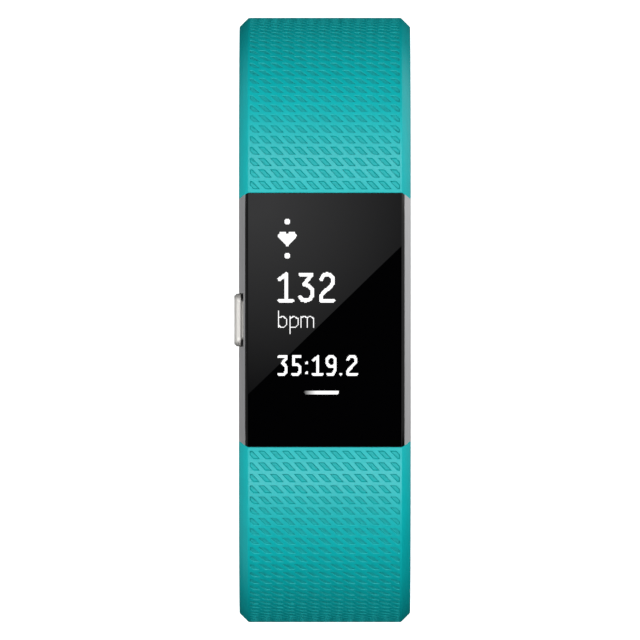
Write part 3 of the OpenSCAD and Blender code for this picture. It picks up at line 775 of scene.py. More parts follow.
@dataclass(frozen=True)
class PocketField:
    """The moulded pattern: rows of leaning pockets, sizes in mm."""

    columns: int = 13
    pitch_x: float = 1.5
    pitch_y: float = 1.48
    start: float = 0.24
    rows: int = 43
    edge: float = 9.45
    top_w: float = 0.86
    height: float = 1.08
    lean: float = 0.98
    spare: float = 0.04
    jog_x: float = 0.45
    jog_y: float = 0.5
    depth: float = 0.18
    rim: float = 0.04
    rounding: float = 0.11
    draft: float = 0.05
    floor_edge: float = 0.1
    # Painted shade weights at each pocket's rim and floor; its walls take the full weight.
    rim_painted_shade: float = 0.6
    floor_painted_shade: float = 0.3
    least_mitre: float = 0.7
    longest_round: float = 0.45

    def lines(self) -> list[float]:
        """The places across the strap that the field's cells end or halve at.

        Returns:
            The places in order.
        """
        half = self.columns * self.pitch_x / 2
        walls = [-half + self.pitch_x * k for k in range(self.columns + 1)]
        walls[0], walls[-1] = -self.edge, self.edge
        return sorted([*walls, *((a + b) / 2 for a, b in zip(walls, walls[1:]))])

    def end(self) -> float:
        """How far along the strap the field runs."""
        return self.start + self.rows * self.pitch_y

    def outline(self, low: float, high: float) -> list[Point2]:
        """A pocket's rounded outline, cut off at a cell's sides.

        Args:
            low: The least X of the pocket.
            high: The greatest X.

        Returns:
            Points in order.
        """
        wide = (self.top_w + self.lean) / 2
        half = self.height / 2
        sharp = [(-wide, half), (self.top_w - wide, half), (wide, -half), (wide - self.top_w, -half)]
        for side, limit in ((-1, low), (1, high)):
            kept: list[Point2] = []
            for a, b in zip(sharp, sharp[1:] + sharp[:1]):
                if (a[0] - limit) * side <= 0:
                    kept.append(a)
                if (a[0] - limit) * (b[0] - limit) < 0:
                    share = (limit - a[0]) / (b[0] - a[0])
                    kept.append((limit, a[1] + share * (b[1] - a[1])))
            sharp = kept
        ring: list[Point2] = []
        for k, here in enumerate(sharp):
            corner = Vector(here)
            back, on = Vector(sharp[k - 1]) - corner, Vector(sharp[(k + 1) % len(sharp)]) - corner
            reach = min(self.rounding, back.length * self.longest_round, on.length * self.longest_round)
            a, b = corner + back.normalized() * reach, corner + on.normalized() * reach
            ring += [tuple(a), tuple((a + b + 2 * corner) / 4), tuple(b)]
        return ring

    def cell(
        self, name: str, left: float, right: float, inner_left: bool = True, inner_right: bool = True
    ) -> Piece:
        """One flat cell with its pocket.

        Args:
            name: The mesh's name.
            left: The cell's least X.
            right: Its greatest X.
            inner_left: Whether another cell follows on the left.
            inner_right: Whether another cell follows on the right.

        Returns:
            A helper object.
        """
        low = -self.pitch_x if inner_left else left + self.spare
        high = self.pitch_x if inner_right else right - self.spare
        rim = self.outline(low, high)
        middle = Vector((sum(p[0] for p in rim) / len(rim), sum(p[1] for p in rim) / len(rim)))
        half = self.pitch_y / 2
        centre = (left + right) / 2
        jog = [(self.jog_x, -self.jog_y), (0.0, 0.0), (-self.jog_x, self.jog_y)]
        straight = jog[1:2]
        frame = [(left, half), (centre, half), (right, half)]
        frame += [(right + x, y) for x, y in (jog[::-1] if inner_right else straight)]
        frame += [(right, -half), (centre, -half), (left, -half)]
        frame += [(left + x, y) for x, y in (jog if inner_left else straight)]

        def inset(amount: float) -> list[Point2]:
            """Draws the rim in by an even distance.

            Args:
                amount: The distance in mm.

            Returns:
                Points in the rim's order.
            """
            ring = []
            for k, p in enumerate(rim):
                here = Vector(p)
                back = (here - Vector(rim[k - 1])).normalized()
                on = (Vector(rim[(k + 1) % len(rim)]) - here).normalized()
                inward = Vector((back.y + on.y, -back.x - on.x)).normalized()
                if inward.dot(middle - here) < 0:
                    inward = -inward
                mitre = max(math.sqrt((1 + back.dot(on)) / 2), self.least_mitre)
                ring.append(tuple(here + inward * amount / mitre))
            return ring

        foot = self.rim + self.draft
        # Each ring's third value is how much painted shade its vertices get in the pocket.
        rings = [
            (rim, 0.0, 0.0),
            (inset(self.rim), -self.rim, self.rim_painted_shade),
            (inset(foot), -self.depth, 1.0),
            (inset(foot + self.floor_edge), -self.depth, self.floor_painted_shade),
        ]
        mesh = bmesh.new()
        # A per-vertex layer holding the painted shade weight of the pocket.
        inside = mesh.verts.layers.float.new("pocket")
        outer = [mesh.verts.new((x * MM, y * MM, 0)) for x, y in frame]
        loops = []
        for ring, z, share in rings:
            row = []
            for x, y in ring:
                vert = mesh.verts.new((x * MM, y * MM, z * MM))
                vert[inside] = share
                row.append(vert)
            loops.append(row)
        flat = outer + loops[0]
        corners = [[Vector((x, y, 0)) for x, y in frame], [Vector((x, y, 0)) for x, y in rim]]
        for face in tessellate_polygon(corners):
            mesh.faces.new([flat[k] for k in face])
        for above, under in zip(loops, loops[1:]):
            for k in range(len(above)):
                m = (k + 1) % len(above)
                mesh.faces.new([above[k], above[m], under[m], under[k]])
        mesh.faces.new(loops[-1])
        bmesh.ops.recalc_face_normals(mesh, faces=mesh.faces[:])
        if sum(face.normal.z * face.calc_area() for face in mesh.faces) < 0:
            bmesh.ops.reverse_faces(mesh, faces=mesh.faces[:])
        return Workshop.keep(mesh, name)

    def cells(self) -> dict[str, Piece]:
        """The three kinds of cell.

        Returns:
            Helper objects by the tree input that takes each.
        """
        half = self.pitch_x / 2
        outer = (self.columns - 1) / 2 * self.pitch_x
        cut = self.edge - outer
        return {
            "Middle Cell": self.cell("cell_middle", -half, half),
            "Left Cell": self.cell("cell_left", -cut, half, inner_left=False),
            "Right Cell": self.cell("cell_right", -half, cut, inner_right=False),
        }


class Workshop:
    """Small jobs on objects and meshes."""

    @staticmethod
    def keep(mesh: Shape, name: str) -> Piece:
        """Turns a mesh in the making into an object.

        Args:
            mesh: The mesh, which is freed.
            name: The object's name.

        Returns:
            The object.
        """
        data = bpy.data.meshes.new(name)
        mesh.to_mesh(data)
        mesh.free()
        made = bpy.data.objects.new(name, data)
        bpy.context.scene.collection.objects.link(made)
        return made

    @staticmethod
    def drop(objects: Iterable[Piece]) -> None:
        """Removes helper objects."""
        for helper in objects:
            bpy.data.objects.remove(helper, do_unlink=True)

    @staticmethod
    def settle(piece: Piece) -> None:
        """Makes a piece's modifiers into its plain mesh.

        Args:
            piece: The object, which loses its modifiers.
        """
        bpy.context.view_layer.update()
        graph = bpy.context.evaluated_depsgraph_get()
        mesh = bpy.data.meshes.new_from_object(
            piece.evaluated_get(graph), preserve_all_data_layers=True, depsgraph=graph
        )
        piece.modifiers.clear()
        old = piece.data
        piece.data = mesh
        bpy.data.meshes.remove(old)

    @staticmethod
    def grow(piece: Piece, tree: bpy.types.NodeTree, values: Mapping[str, Any]) -> None:
        """Runs a geometry tree on a piece and keeps the result.

        Args:
            piece: The object.
            tree: The geometry tree.
            values: The tree's inputs by name.
        """
        step = piece.modifiers.new(tree.name, "NODES")
        step.node_group = tree
        for item in tree.interface.items_tree:
            if item.item_type == "SOCKET" and item.in_out == "INPUT" and item.name in values:
                step[item.identifier] = values[item.name]
        Workshop.settle(piece)

    @staticmethod
    def cut(piece: Piece, cutter: Piece) -> None:
        """Cuts one closed shape out of another and removes the cutter.

        Args:
            piece: The object that stays.
            cutter: The shape to take away.
        """
        step = piece.modifiers.new("cut", "BOOLEAN")
        step.operation = "DIFFERENCE"
        step.solver = "EXACT"
        step.object = cutter
        Workshop.settle(piece)
        Workshop.drop([cutter])
        finishes = [made for made in piece.data.materials if made]
        piece.data.materials.clear()
        for made in finishes[:1]:
            piece.data.materials.append(made)
        piece.data.polygons.foreach_set("material_index", [0] * len(piece.data.polygons))

    @staticmethod
    def prism(mesh: Shape, outline: Sequence[Vector], way: Vector) -> None:
        """Adds a closed prism to a mesh.

        Args:
            mesh: The mesh in the making.
            outline: The first end's corners.
            way: From the first end to the other.
        """
        near = [mesh.verts.new(p) for p in outline]
        far = [mesh.verts.new(p + way) for p in outline]
        mesh.faces.new(near)
        mesh.faces.new(far[::-1])
        for k in range(len(near)):
            m = (k + 1) % len(near)
            mesh.faces.new([near[m], near[k], far[k], far[m]])

    @staticmethod
    def outward(piece: Piece, crease: float = 32.0) -> None:
        """Turns all faces outwards and shades smoothly between creases.

        Args:
            piece: The object.
            crease: The least angle of a sharp edge, in degrees.
        """
        mesh = bmesh.new()
        mesh.from_mesh(piece.data)
        bmesh.ops.recalc_face_normals(mesh, faces=mesh.faces[:])
        for face in mesh.faces:
            face.smooth = True
        loose = sum(1 for edge in mesh.edges if not edge.is_manifold)
        mesh.to_mesh(piece.data)
        mesh.free()
        piece.data.set_sharp_from_angle(angle=math.radians(crease))
        LOG.info("%s: %d faces, %d open edges", piece.name, len(piece.data.polygons), loose)


@dataclass(frozen=True)
class SoftEdges:
    """A frame node whose sharp edges get a small round, in mm."""

    node: str
    look: Look
    body: str
    slot: str
    round: float = 0.06
    steps: int = 2
    weld: float = 0.002
    flat_angle: float = 0.4
    round_angle: float = 28.0
    sharp_angle: float = 50.0
    face_weight: int = 90

    def build(self, wardrobe: Wardrobe, source: Piece) -> Piece:
        """Makes the rounded piece.

        Args:
            wardrobe: Where the finish comes from.
            source: The frame's node.

        Returns:
            The piece.
        """
        mesh = bmesh.new()
        mesh.from_mesh(source.data)
        bmesh.ops.remove_doubles(mesh, verts=mesh.verts[:], dist=self.weld * MM)
        flat = math.radians(self.flat_angle)
        bmesh.ops.dissolve_limit(mesh, angle_limit=flat, verts=mesh.verts[:], edges=mesh.edges[:])
        for face in mesh.faces:
            face.smooth = True
        made = Workshop.keep(mesh, f"{self.node}_rounded")
        made.data.materials.append(wardrobe.get(self.look))
        step = made.modifiers.new("round", "BEVEL")
        step.width = self.round * MM
        step.segments = self.steps
        step.limit_method = "ANGLE"
        step.angle_limit = math.radians(self.round_angle)
        Workshop.settle(made)
        made.data.set_sharp_from_angle(angle=math.radians(self.sharp_angle))
        weigh = made.modifiers.new("weigh", "WEIGHTED_NORMAL")
        weigh.weight = self.face_weight
        weigh.keep_sharp = True
        Workshop.settle(made)
        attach(made, self.body)
        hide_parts(self.node)
        LOG.info("%s: %d faces", made.name, len(made.data.polygons))
        return made


ROUNDED = (
    SoftEdges("display_window", Look.GLASS, "band", "window_glass", 0.05),
    SoftEdges("case_frame", Look.CASE, "band", "case_metal", 0.05),
    SoftEdges("side_button", Look.BUTTON, "button", "case_metal", 0.12, 3),
    SoftEdges("rear_cover", Look.COVER, "band", "black_plastic", 0.12),
    SoftEdges("buckle_frame", Look.BUCKLE, "buckle", "steel", 0.25, 3),
    SoftEdges("buckle_tongue", Look.BUCKLE, "tongue", "steel", 0.15, 3),
    SoftEdges("strap_keeper", Look.KEEPER, "keeper", "strap_elastomer", 0.2, 3),
)


class GeometryTree(Tree):
    """A geometry tree in the making."""

    def __init__(self, name: str, inputs: Mapping[str, tuple[str, Any]]) -> None:
        """Starts the tree.

        Args:
            name: The tree's name.
            inputs: Each input's socket type and default, by name.
        """
        group = bpy.data.node_groups.new(name, "GeometryNodeTree")
        super().__init__(group)
        group.interface.new_socket("Geometry", in_out="INPUT", socket_type="NodeSocketGeometry")
        group.interface.new_socket("Geometry", in_out="OUTPUT", socket_type="NodeSocketGeometry")
        for label, (kind, default) in inputs.items():
            socket = group.interface.new_socket(label, in_out="INPUT", socket_type=kind)
            if default is not None:
                socket.default_value = default
        self.given = self.node("NodeGroupInput")

    def input(self, name: str) -> Socket:
        """One of the tree's inputs."""
        return self.given.outputs[name]

    def number(self, name: str) -> Value:
        """One of the tree's inputs, for expressions."""
        return self.value(self.input(name))

    def vector(self, x: Any = 0.0, y: Any = 0.0, z: Any = 0.0) -> Socket:
        """A vector of three parts."""
        return self.node("ShaderNodeCombineXYZ", None, {0: x, 1: y, 2: z}).outputs[0]

    def parts(self, vector: Socket) -> tuple[Value, Value, Value]:
        """A vector's three parts."""
        made = self.node("ShaderNodeSeparateXYZ", None, {0: vector})
        return tuple(self.value(made.outputs[k]) for k in range(3))

    def vector_math(self, operation: str, *terms: Any) -> Socket:
        """Adds one Vector Math node.

        Args:
            operation: The node's operation.
            terms: Its values, in order; for SCALE the second is the factor.

        Returns:
            The result's socket.
        """
        if operation == "SCALE":
            sockets = {0: terms[0], "Scale": terms[1]}
        else:
            sockets = dict(enumerate(terms))
        return self.node("ShaderNodeVectorMath", {"operation": operation}, sockets).outputs[0]

    def join(self, *parts: Socket) -> Socket:
        """Joins geometry.

        Args:
            parts: The geometry sockets, in order.

        Returns:
            The joined geometry.
        """
        made = self.node("GeometryNodeJoinGeometry")
        for part in parts:
            self.tree.links.new(part, made.inputs[0])
        return made.outputs[0]

    def repeat(self, shape: Socket, count: Any, start: Socket, step: Socket) -> Socket:
        """Repeats a shape along a line.

        Args:
            shape: The geometry to repeat.
            count: How many.
            start: The first one's place.
            step: From one to the next.

        Returns:
            The instances.
        """
        run = {"Count": count, "Start Location": start, "Offset": step}
        line = self.node("GeometryNodeMeshLine", {"mode": "OFFSET"}, run)
        sockets = {"Points": line.outputs[0], "Instance": shape}
        return self.node("GeometryNodeInstanceOnPoints", None, sockets).outputs[0]

    def end(self, geometry: Socket, material: bpy.types.Material) -> bpy.types.NodeTree:
        """Ends the tree with Realize Instances and Set Material.

        Args:
            geometry: What the tree made.
            material: Its finish.

        Returns:
            The finished tree.
        """
        real = self.node("GeometryNodeRealizeInstances", None, {0: geometry}).outputs[0]
        done = self.node("GeometryNodeSetMaterial", None, {"Geometry": real, "Material": material})
        self.node("NodeGroupOutput", None, {0: done.outputs[0]})
        return self.tree


@dataclass
class Straps:
    """Both straps with their moulded pockets."""

    wardrobe: Wardrobe
    sizes: LoopSizes = LoopSizes()
    field: PocketField = PocketField()
    hole_l: float = 6.0
    hole_w: float = 2.8
    hole_pitch: float = 7.4
    hole_shift: float = 1.6
    insert_w: float = 16.04
    insert_reach: float = 8.02
    insert_rise: float = 1.42
    latch_d: float = 3.8
    latch_slope: float = 4.0
    bore_r: float = 0.8
    slot_w: float = 2.4
    slot_start: float = 0.0
    slot_end: float = 5.8
    fan: float = 8.0
    step: float = 0.8
    end_steps: int = 7
    end_sweep: float = 88.0
    tip_spare: float = 0.2
    top_ease: tuple[Point2, ...] = ((-0.05, 0.0), (0.03, 0.035))
    side_ease: tuple[Point2, ...] = ((-0.06, -0.06), (0.0, 0.08))
    inner_ease: tuple[Point2, ...] = ((0.0, -0.45), (-0.12, -0.16), (-0.42, 0.0))
    root_reach: float = 26.0
    probe: float = 0.01
    probes: int = 900
    insert_room: float = 6.0
    bore_steps: int = 40
    slot_d: float = 3.0
    holes_before: int = 3
    holes_after: int = 4
    hole_over: float = 1.0
    hole_steps: int = 32
    guide_step: float = 0.2
    weld: float = 0.012

    def tree(self) -> bpy.types.NodeTree:
        """The tree that lays the pockets along a strap and joins them to its shell.

        Returns:
            The tree.
        """
        made = GeometryTree(
            "pocket_field",
            {
                "Path": ("NodeSocketObject", None),
                "Middle Cell": ("NodeSocketObject", None),
                "Left Cell": ("NodeSocketObject", None),
                "Right Cell": ("NodeSocketObject", None),
                "Columns": ("NodeSocketInt", 13),
                "Rows": ("NodeSocketInt", 40),
                "Pitch Across": ("NodeSocketFloat", 1.5 * MM),
                "Pitch Along": ("NodeSocketFloat", 1.48 * MM),
                "Start": ("NodeSocketFloat", 0.0),
                "Wide Height": ("NodeSocketFloat", 0.03),
                "Narrow Height": ("NodeSocketFloat", 0.01),
                "Narrow Share": ("NodeSocketFloat", 0.8),
            },
        )

        def shape(name: str) -> Socket:
            """The geometry of an object that the tree is given."""
            seen = made.node("GeometryNodeObjectInfo", None, {"Object": made.input(name)})
            return seen.outputs["Geometry"]

        across, along = made.number("Pitch Across"), made.number("Pitch Along")
        outer = (made.number("Columns") - 1) * 0.5 * across
        inner = made.number("Columns") - 2
        row = [made.repeat(shape("Middle Cell"), inner, made.vector(across - outer), made.vector(across))]
        for side, name in ((-1.0, "Left Cell"), (1.0, "Right Cell")):
            moved = made.node(
                "GeometryNodeTransform",
                None,
                {"Geometry": shape(name), "Translation": made.vector(outer * side)},
            )
            row.append(moved.outputs[0])
        first = made.vector(0.0, made.number("Start") + along * 0.5)
        flat = made.repeat(made.join(*row), made.input("Rows"), first, made.vector(0.0, along))
        flat = made.node("GeometryNodeRealizeInstances", None, {0: flat}).outputs[0]
        seat = made.node("GeometryNodeInputPosition").outputs[0]
        x, way, height = made.parts(seat)
        sample = made.node(
            "GeometryNodeSampleCurve",
            {"mode": "LENGTH", "use_all_curves": False},
            {"Curves": shape("Path"), "Length": way},
        )
        middle, tangent = sample.outputs["Position"], sample.outputs["Tangent"]
        side_way = made.vector(1.0, 0.0, 0.0)
        out = made.vector_math("NORMALIZE", made.vector_math("CROSS_PRODUCT", side_way, tangent))
        level = made.parts(middle)[2]
        low = made.number("Narrow Height")
        share = (level - low) / (made.number("Wide Height") - low)
        narrow = made.number("Narrow Share")
        width = narrow + (1 - narrow) * share.clamped()
        bent = made.vector_math("ADD", middle, made.vector_math("SCALE", out, height))
        bent = made.vector_math("ADD", bent, made.vector(x * width))
        laid = made.node("GeometryNodeSetPosition", None, {"Geometry": flat, "Position": bent}).outputs[0]
        whole = made.join(made.input("Geometry"), laid)
        seam = {"Geometry": whole, "Distance": self.weld * MM}
        sealed = made.node("GeometryNodeMergeByDistance", None, seam)
        return made.end(sealed.outputs[0], self.wardrobe.get(Look.STRAP))

    @cached_property
    def root_circle(self) -> tuple[Point2, float]:
        """The round that carries the root's inner side.

        Returns:
            Its centre, as Y and Z, and its radius.
        """
        sizes = self.sizes
        corner = sizes.end_at(sizes.root_t)
        second = Path(sizes.pod_end(), sizes.loop_legs()[:2])
        place = second.at(second.length())
        tip, out = Vector(place.inside(sizes.root_sink)), Vector(place.out())
        gap = corner - tip
        r = -gap.dot(gap) / (2 * gap.dot(out))
        return tuple(tip - r * out), r

    def shear(self, way: float) -> float:
        """How far a cross-section leans back at a distance from the pod, per unit of depth.

        Args:
            way: The distance, in mm.

        Returns:
            The lean.
        """
        lean = math.tan(math.radians(self.sizes.end_slant + self.sizes.pod_end().heading))
        share = min(max(way / self.fan, 0.0), 1.0)
        return -lean * (1 - share * share * (3 - 2 * share))

    def thickness(self, place: Place, way: float) -> float:
        """The strap's depth at a place: the root near the pod, and the plain strap further on.

        Args:
            place: The place on the outer surface.
            way: Its distance from the pod, in mm.

        Returns:
            The depth, in mm.
        """
        centre, r = self.root_circle
        lean = self.shear(way)
        depth = self.sizes.strap_t
        if way > self.root_reach:
            return depth
        for k in range(self.probes):
            test = k * self.probe
            y, z = place.inside(test, test * lean)
            if math.hypot(y - centre[0], z - centre[1]) < r:
                return max(depth, test)
        return depth

    def ring(self, place: Place, way: float, wide: float, squeeze: float) -> list[Vector]:
        """One closed cross-section.

        Args:
            place: Its place on the outer surface.
            way: Its distance from the pod.
            wide: Its width, as a share of the full width.
            squeeze: Its thickness, as a share, about its middle.

        Returns:
            Points in mm, from the left of the top round to its start.
        """
        sizes = self.sizes
        half, flat, bevel = sizes.band_w / 2, sizes.band_w / 2 - sizes.bevel, sizes.bevel
        deep = self.thickness(place, way)
        right = [(flat + x, d) for x, d in self.top_ease]
        right += [(half + x, bevel + d) for x, d in self.side_ease]
        right += [(half + x, deep + d) for x, d in self.inner_ease] + [(half / 2, deep)]
        top = [(x, 0.0) for x in self.field.lines()]
        section = top + right + [(0.0, deep)] + [(-x, d) for x, d in reversed(right)]
        lean = self.shear(way)
        points = []
        for x, depth in section:
            depth = deep / 2 + (depth - deep / 2) * squeeze
            y, z = place.inside(depth, depth * lean)
            points.append(Vector((x * wide, y, z)))
        return points

    def shell(self, name: str, path: Path, round_tip: bool) -> Piece:
        """The strap without its pockets, open where they go.

        Args:
            name: The strap's name.
            path: The strap's path.
            round_tip: Whether it ends in a round tip, or in a round lug for the bar.

        Returns:
            The object.
        """
        sizes, field = self.sizes, self.field
        end = path.length()
        tip_r = sizes.tail_w / 2 + self.tip_spare
        stations = [(sizes.joint_gap, 1.0, 1.0)]
        stations += [(field.start + k * field.pitch_y / 2, 1.0, 1.0) for k in range(2 * field.rows + 1)]
        last = end - tip_r if round_tip else end
        count = math.ceil((last - field.end()) / self.step)
        stations += [(field.end() + (last - field.end()) * (k + 1) / count, 1.0, 1.0) for k in range(count)]
        turns = self.end_steps * (2 if round_tip else 1)
        for k in range(1, turns + 1):
            a = math.radians(self.end_sweep) * k / turns
            if round_tip:
                stations.append((last + tip_r * math.sin(a), math.cos(a), 1.0))
            else:
                stations.append((last + sizes.strap_t / 2 * math.sin(a), 1.0, math.cos(a)))
        mesh = bmesh.new()
        rows = []
        for way, wide, squeeze in stations:
            place = path.at(way)
            width = sizes.taper(place.z) * wide
            rows.append([mesh.verts.new(p * MM) for p in self.ring(place, way, width, squeeze)])
        open_cells = len(field.lines()) - 1
        count = len(rows[0])
        for i in range(len(rows) - 1):
            in_field = 1 <= i <= 2 * field.rows
            for k in range(count):
                if in_field and k < open_cells:
                    continue
                m = (k + 1) % count
                mesh.faces.new([rows[i][k], rows[i][m], rows[i + 1][m], rows[i + 1][k]])
        mesh.faces.new(rows[0])
        mesh.faces.new(rows[-1][::-1])
        return Workshop.keep(mesh, name)

    def guide(self, path: Path) -> Piece:
        """The path as a curve.

        Args:
            path: The strap's path.

        Returns:
            A helper object.
        """
        curve = bpy.data.curves.new("strap_path", "CURVE")
        curve.dimensions = "3D"
        line = curve.splines.new("POLY")
        count = math.ceil(path.length() / self.guide_step)
        line.points.add(count)
        for k in range(count + 1):
            place = path.at(path.length() * k / count)
            line.points[k].co = (0.0, place.y * MM, place.z * MM, 1.0)
        made = bpy.data.objects.new("strap_path", curve)
        bpy.context.scene.collection.objects.link(made)
        return made

    def insert_pocket(self, mesh: Shape) -> None:
        """Adds the space for the strap's insert to a cutter.

        Args:
            mesh: The cutter in the making.
        """
        sizes, room = self.sizes, self.insert_room
        seat = Vector((0, *sizes.end_at(self.latch_d)))
        turn = Matrix.Rotation(math.radians(-self.latch_slope), 3, "X")
        half, reach, rise = self.insert_w / 2, self.insert_reach, self.insert_rise
        corners = [(-half, -room, -room), (-half, reach, -room), (-half, reach, rise), (-half, -room, rise)]
        outline = [(seat + turn @ Vector(p)) * MM for p in corners]
        Workshop.prism(mesh, outline, Vector((2 * half * MM, 0, 0)))

    def bar_seat(self, mesh: Shape, path: Path) -> None:
        """Adds the spring bar's bore to a cutter.

        Args:
            mesh: The cutter in the making.
            path: The strap's path.
        """
        end = path.at(path.length())
        half = self.sizes.band_w
        y, z = end.inside(self.sizes.strap_t / 2)
        ring = [
            Vector((-half, y + self.bore_r * math.cos(a), z + self.bore_r * math.sin(a))) * MM
            for a in (math.tau * k / self.bore_steps for k in range(self.bore_steps))
        ]
        Workshop.prism(mesh, ring, Vector((2 * half * MM, 0, 0)))

    def tongue_slot(self, mesh: Shape, path: Path) -> None:
        """Adds the tongue's slot to a cutter.

        Args:
            mesh: The cutter in the making.
            path: The strap's path.
        """
        z = path.at(path.length()).z
        half = self.slot_w / 2
        near, far = self.slot_start, self.slot_end
        box = [(-half, near), (half, near), (half, far), (-half, far)]
        outline = [Vector((x, y, z - self.slot_d)) * MM for x, y in box]
        Workshop.prism(mesh, outline, Vector((0, 0, 2 * self.slot_d * MM)))

    def holes(self, mesh: Shape, path: Path) -> None:
        """Adds the adjustment holes to a cutter.

        Args:
            mesh: The cutter in the making.
            path: The strap's path.
        """
        before_bend = len(self.sizes.loop_legs()) + 2
        engaged = sum(leg.length() for leg in path.legs[:before_bend]) + self.hole_shift
        r, reach = self.hole_w / 2, (self.hole_l - self.hole_w) / 2
        for k in range(-self.holes_before, self.holes_after + 1):
            place = path.at(engaged + k * self.hole_pitch)
            n = place.out()
            ring = []
            for turn in range(self.hole_steps):
                a = math.tau * turn / self.hole_steps
                x, s = r * math.sin(a), r * math.cos(a) + math.copysign(reach, math.cos(a))
                ring.append(Vector((x, *place.inside(-self.hole_over, s))) * MM)
            depth = self.sizes.strap_t + 2 * self.hole_over
            Workshop.prism(mesh, ring, Vector((0, -n[0] * depth, -n[1] * depth)) * MM)

    def build(self) -> list[Piece]:
        """Makes both straps.

        Returns:
            The straps.
        """
        tree = self.tree()
        made = []
        for name, path, lower in (
            ("upper_strap", self.sizes.upper_path(), False),
            ("lower_strap", self.sizes.lower_path(), True),
        ):
            strap = self.shell(f"{name}_moulded", path, lower)
            guide, cells = self.guide(path), self.field.cells()
            values = {
                **cells,
                "Path": guide,
                "Columns": self.field.columns,
                "Rows": self.field.rows,
                "Pitch Across": self.field.pitch_x * MM,
                "Pitch Along": self.field.pitch_y * MM,
                "Start": self.field.start * MM,
                "Wide Height": self.sizes.wide_z * MM,
                "Narrow Height": self.sizes.narrow_z * MM,
                "Narrow Share": self.sizes.tail_w / self.sizes.band_w,
            }
            Workshop.grow(strap, tree, values)
            Workshop.drop([guide, *cells.values()])
            Workshop.outward(strap)
            for cutter in self.cutters(path, lower):
                Workshop.cut(strap, cutter)
            if lower:
                strap.data.transform(Matrix.Rotation(math.pi, 4, "Z"))
            Workshop.outward(strap)
            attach(strap, "band")
            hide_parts(name)
            LOG.info("%s made", name)
            made.append(strap)
        return made

    def cutters(self, path: Path, lower: bool) -> Iterable[Piece]:
        """The shapes to cut out of a strap, one after the other.

        Args:
            path: The strap's path.
            lower: Whether it is the lower strap.

        Yields:
            Cutter objects.
        """
        jobs = [self.insert_pocket]
        if lower:
            jobs += [lambda mesh: self.holes(mesh, path)]
        else:
            jobs += [lambda mesh: self.bar_seat(mesh, path), lambda mesh: self.tongue_slot(mesh, path)]
        for job in jobs:
            mesh = bmesh.new()
            job(mesh)
            bmesh.ops.recalc_face_normals(mesh, faces=mesh.faces[:])
            yield Workshop.keep(mesh, "cutter")


Stroke = Sequence[Point2]

BIG: dict[str, list[Stroke]] = {
    "1": [[(1.6, 16.4), (6.4, 19.8), (6.4, 1.5)], [(1.5, 1.5), (10.4, 1.5)]],
    "3": [
        [(1.9, 19.6), (9.6, 19.6), (4.4, 12.6), (7.6, 11.6), (10.1, 9.0), (10.2, 5.2), (8.4, 2.3),
         (5.8, 1.5), (3.2, 1.7), (1.6, 4.0)],
    ],
    "2": [
        [(2.0, 16.2), (3.2, 18.8), (5.2, 19.7), (7.4, 19.6), (10.1, 17.2), (10.1, 13.6), (8.0, 10.6),
         (4.0, 7.6), (1.7, 4.6), (1.7, 1.5), (10.3, 1.5)],
    ],
}
SMALL: dict[str, list[Stroke]] = {
    "3": [[(1.0, 13.3), (6.0, 13.3), (6.0, 12.4), (3.4, 8.6), (5.2, 7.4), (6.0, 5.6), (6.0, 3.0), (4.6, 1.2),
           (1.0, 1.2)]],
    "5": [[(6.2, 13.3), (1.5, 13.3), (1.3, 7.9), (4.2, 8.1), (6.0, 6.4), (6.0, 3.0), (4.6, 1.2),
           (1.0, 1.2)]],
    ":": [[(1.0, 8.9), (1.1, 8.9)], [(1.0, 2.0), (1.1, 2.0)]],
    "1": [[(1.1, 11.0), (4.3, 13.2), (4.3, 1.1)], [(1.0, 1.1), (7.1, 1.1)]],
    "9": [
        [(6.8, 9.0), (6.6, 11.8), (5.0, 13.4), (2.8, 13.4), (1.1, 11.8), (1.1, 8.4), (2.6, 6.6), (5.0, 6.6),
         (6.7, 8.2)],
        [(6.8, 9.0), (6.8, 4.4), (5.2, 1.2), (1.5, 1.2)],
    ],
    ".": [[(1.0, 1.2), (1.1, 1.2)]],
    "2": [[(1.0, 11.4), (2.4, 13.3), (5.4, 13.3), (6.8, 11.8), (6.8, 9.6), (1.2, 3.6),
           (1.2, 1.1), (7.2, 1.1)]],
}
THIN: dict[str, list[Stroke]] = {
    "b": [[(0.5, 15.8), (0.5, 4.5)],
          [(0.5, 11.2), (3.4, 12.3), (6.0, 10.4), (6.0, 6.6), (3.8, 4.5), (2.0, 4.5), (0.5, 6.0)]],
    "p": [[(0.5, 0.5), (0.5, 12.4)],
          [(0.5, 10.9), (3.0, 12.4), (5.9, 10.6), (5.9, 6.6), (3.8, 4.5), (0.5, 4.7)]],
    "m": [[(0.5, 4.5), (0.5, 12.4)], [(0.5, 11.4), (2.4, 12.4), (4.6, 11.4), (4.6, 4.5)],
          [(4.6, 11.4), (6.6, 12.4), (8.9, 11.0), (8.9, 4.5)]],
}
HEART: list[Stroke] = [
    [(3.6, 10.4), (6.0, 10.4)], [(9.6, 10.4), (12.0, 10.4)],
    [(2.8, 8.6), (12.8, 8.6)], [(3.8, 7.0), (11.8, 7.0)],
    [(5.4, 5.4), (10.2, 5.4)], [(6.8, 3.9), (8.8, 3.9)], [(7.8, 2.3), (7.85, 2.3)],
    [(2.4, 8.6), (7.8, 2.6), (13.2, 8.6)],
]


@dataclass(frozen=True)
class Caption:
    """One line of glyphs on the display: where each starts and the strokes' width, in its pixels."""

    name: str
    glyphs: Mapping[str, list[Stroke]]
    words: str
    places: tuple[float, ...]
    width: float
    origin: Point2

CAPTIONS = (
    Caption("lit_pulse", BIG, "132", (0.0, 14.3, 28.6), 2.6, (-5.95, 2.17)),
    Caption("lit_unit", THIN, "bpm", (0.0, 8.0, 15.6), 0.75, (-5.85, -1.75)),
    Caption("lit_time", SMALL, "35:19.2", (0.0, 9.6, 19.2, 23.8, 33.4, 43.0, 47.8), 1.9, (-5.92, -6.98)),
)

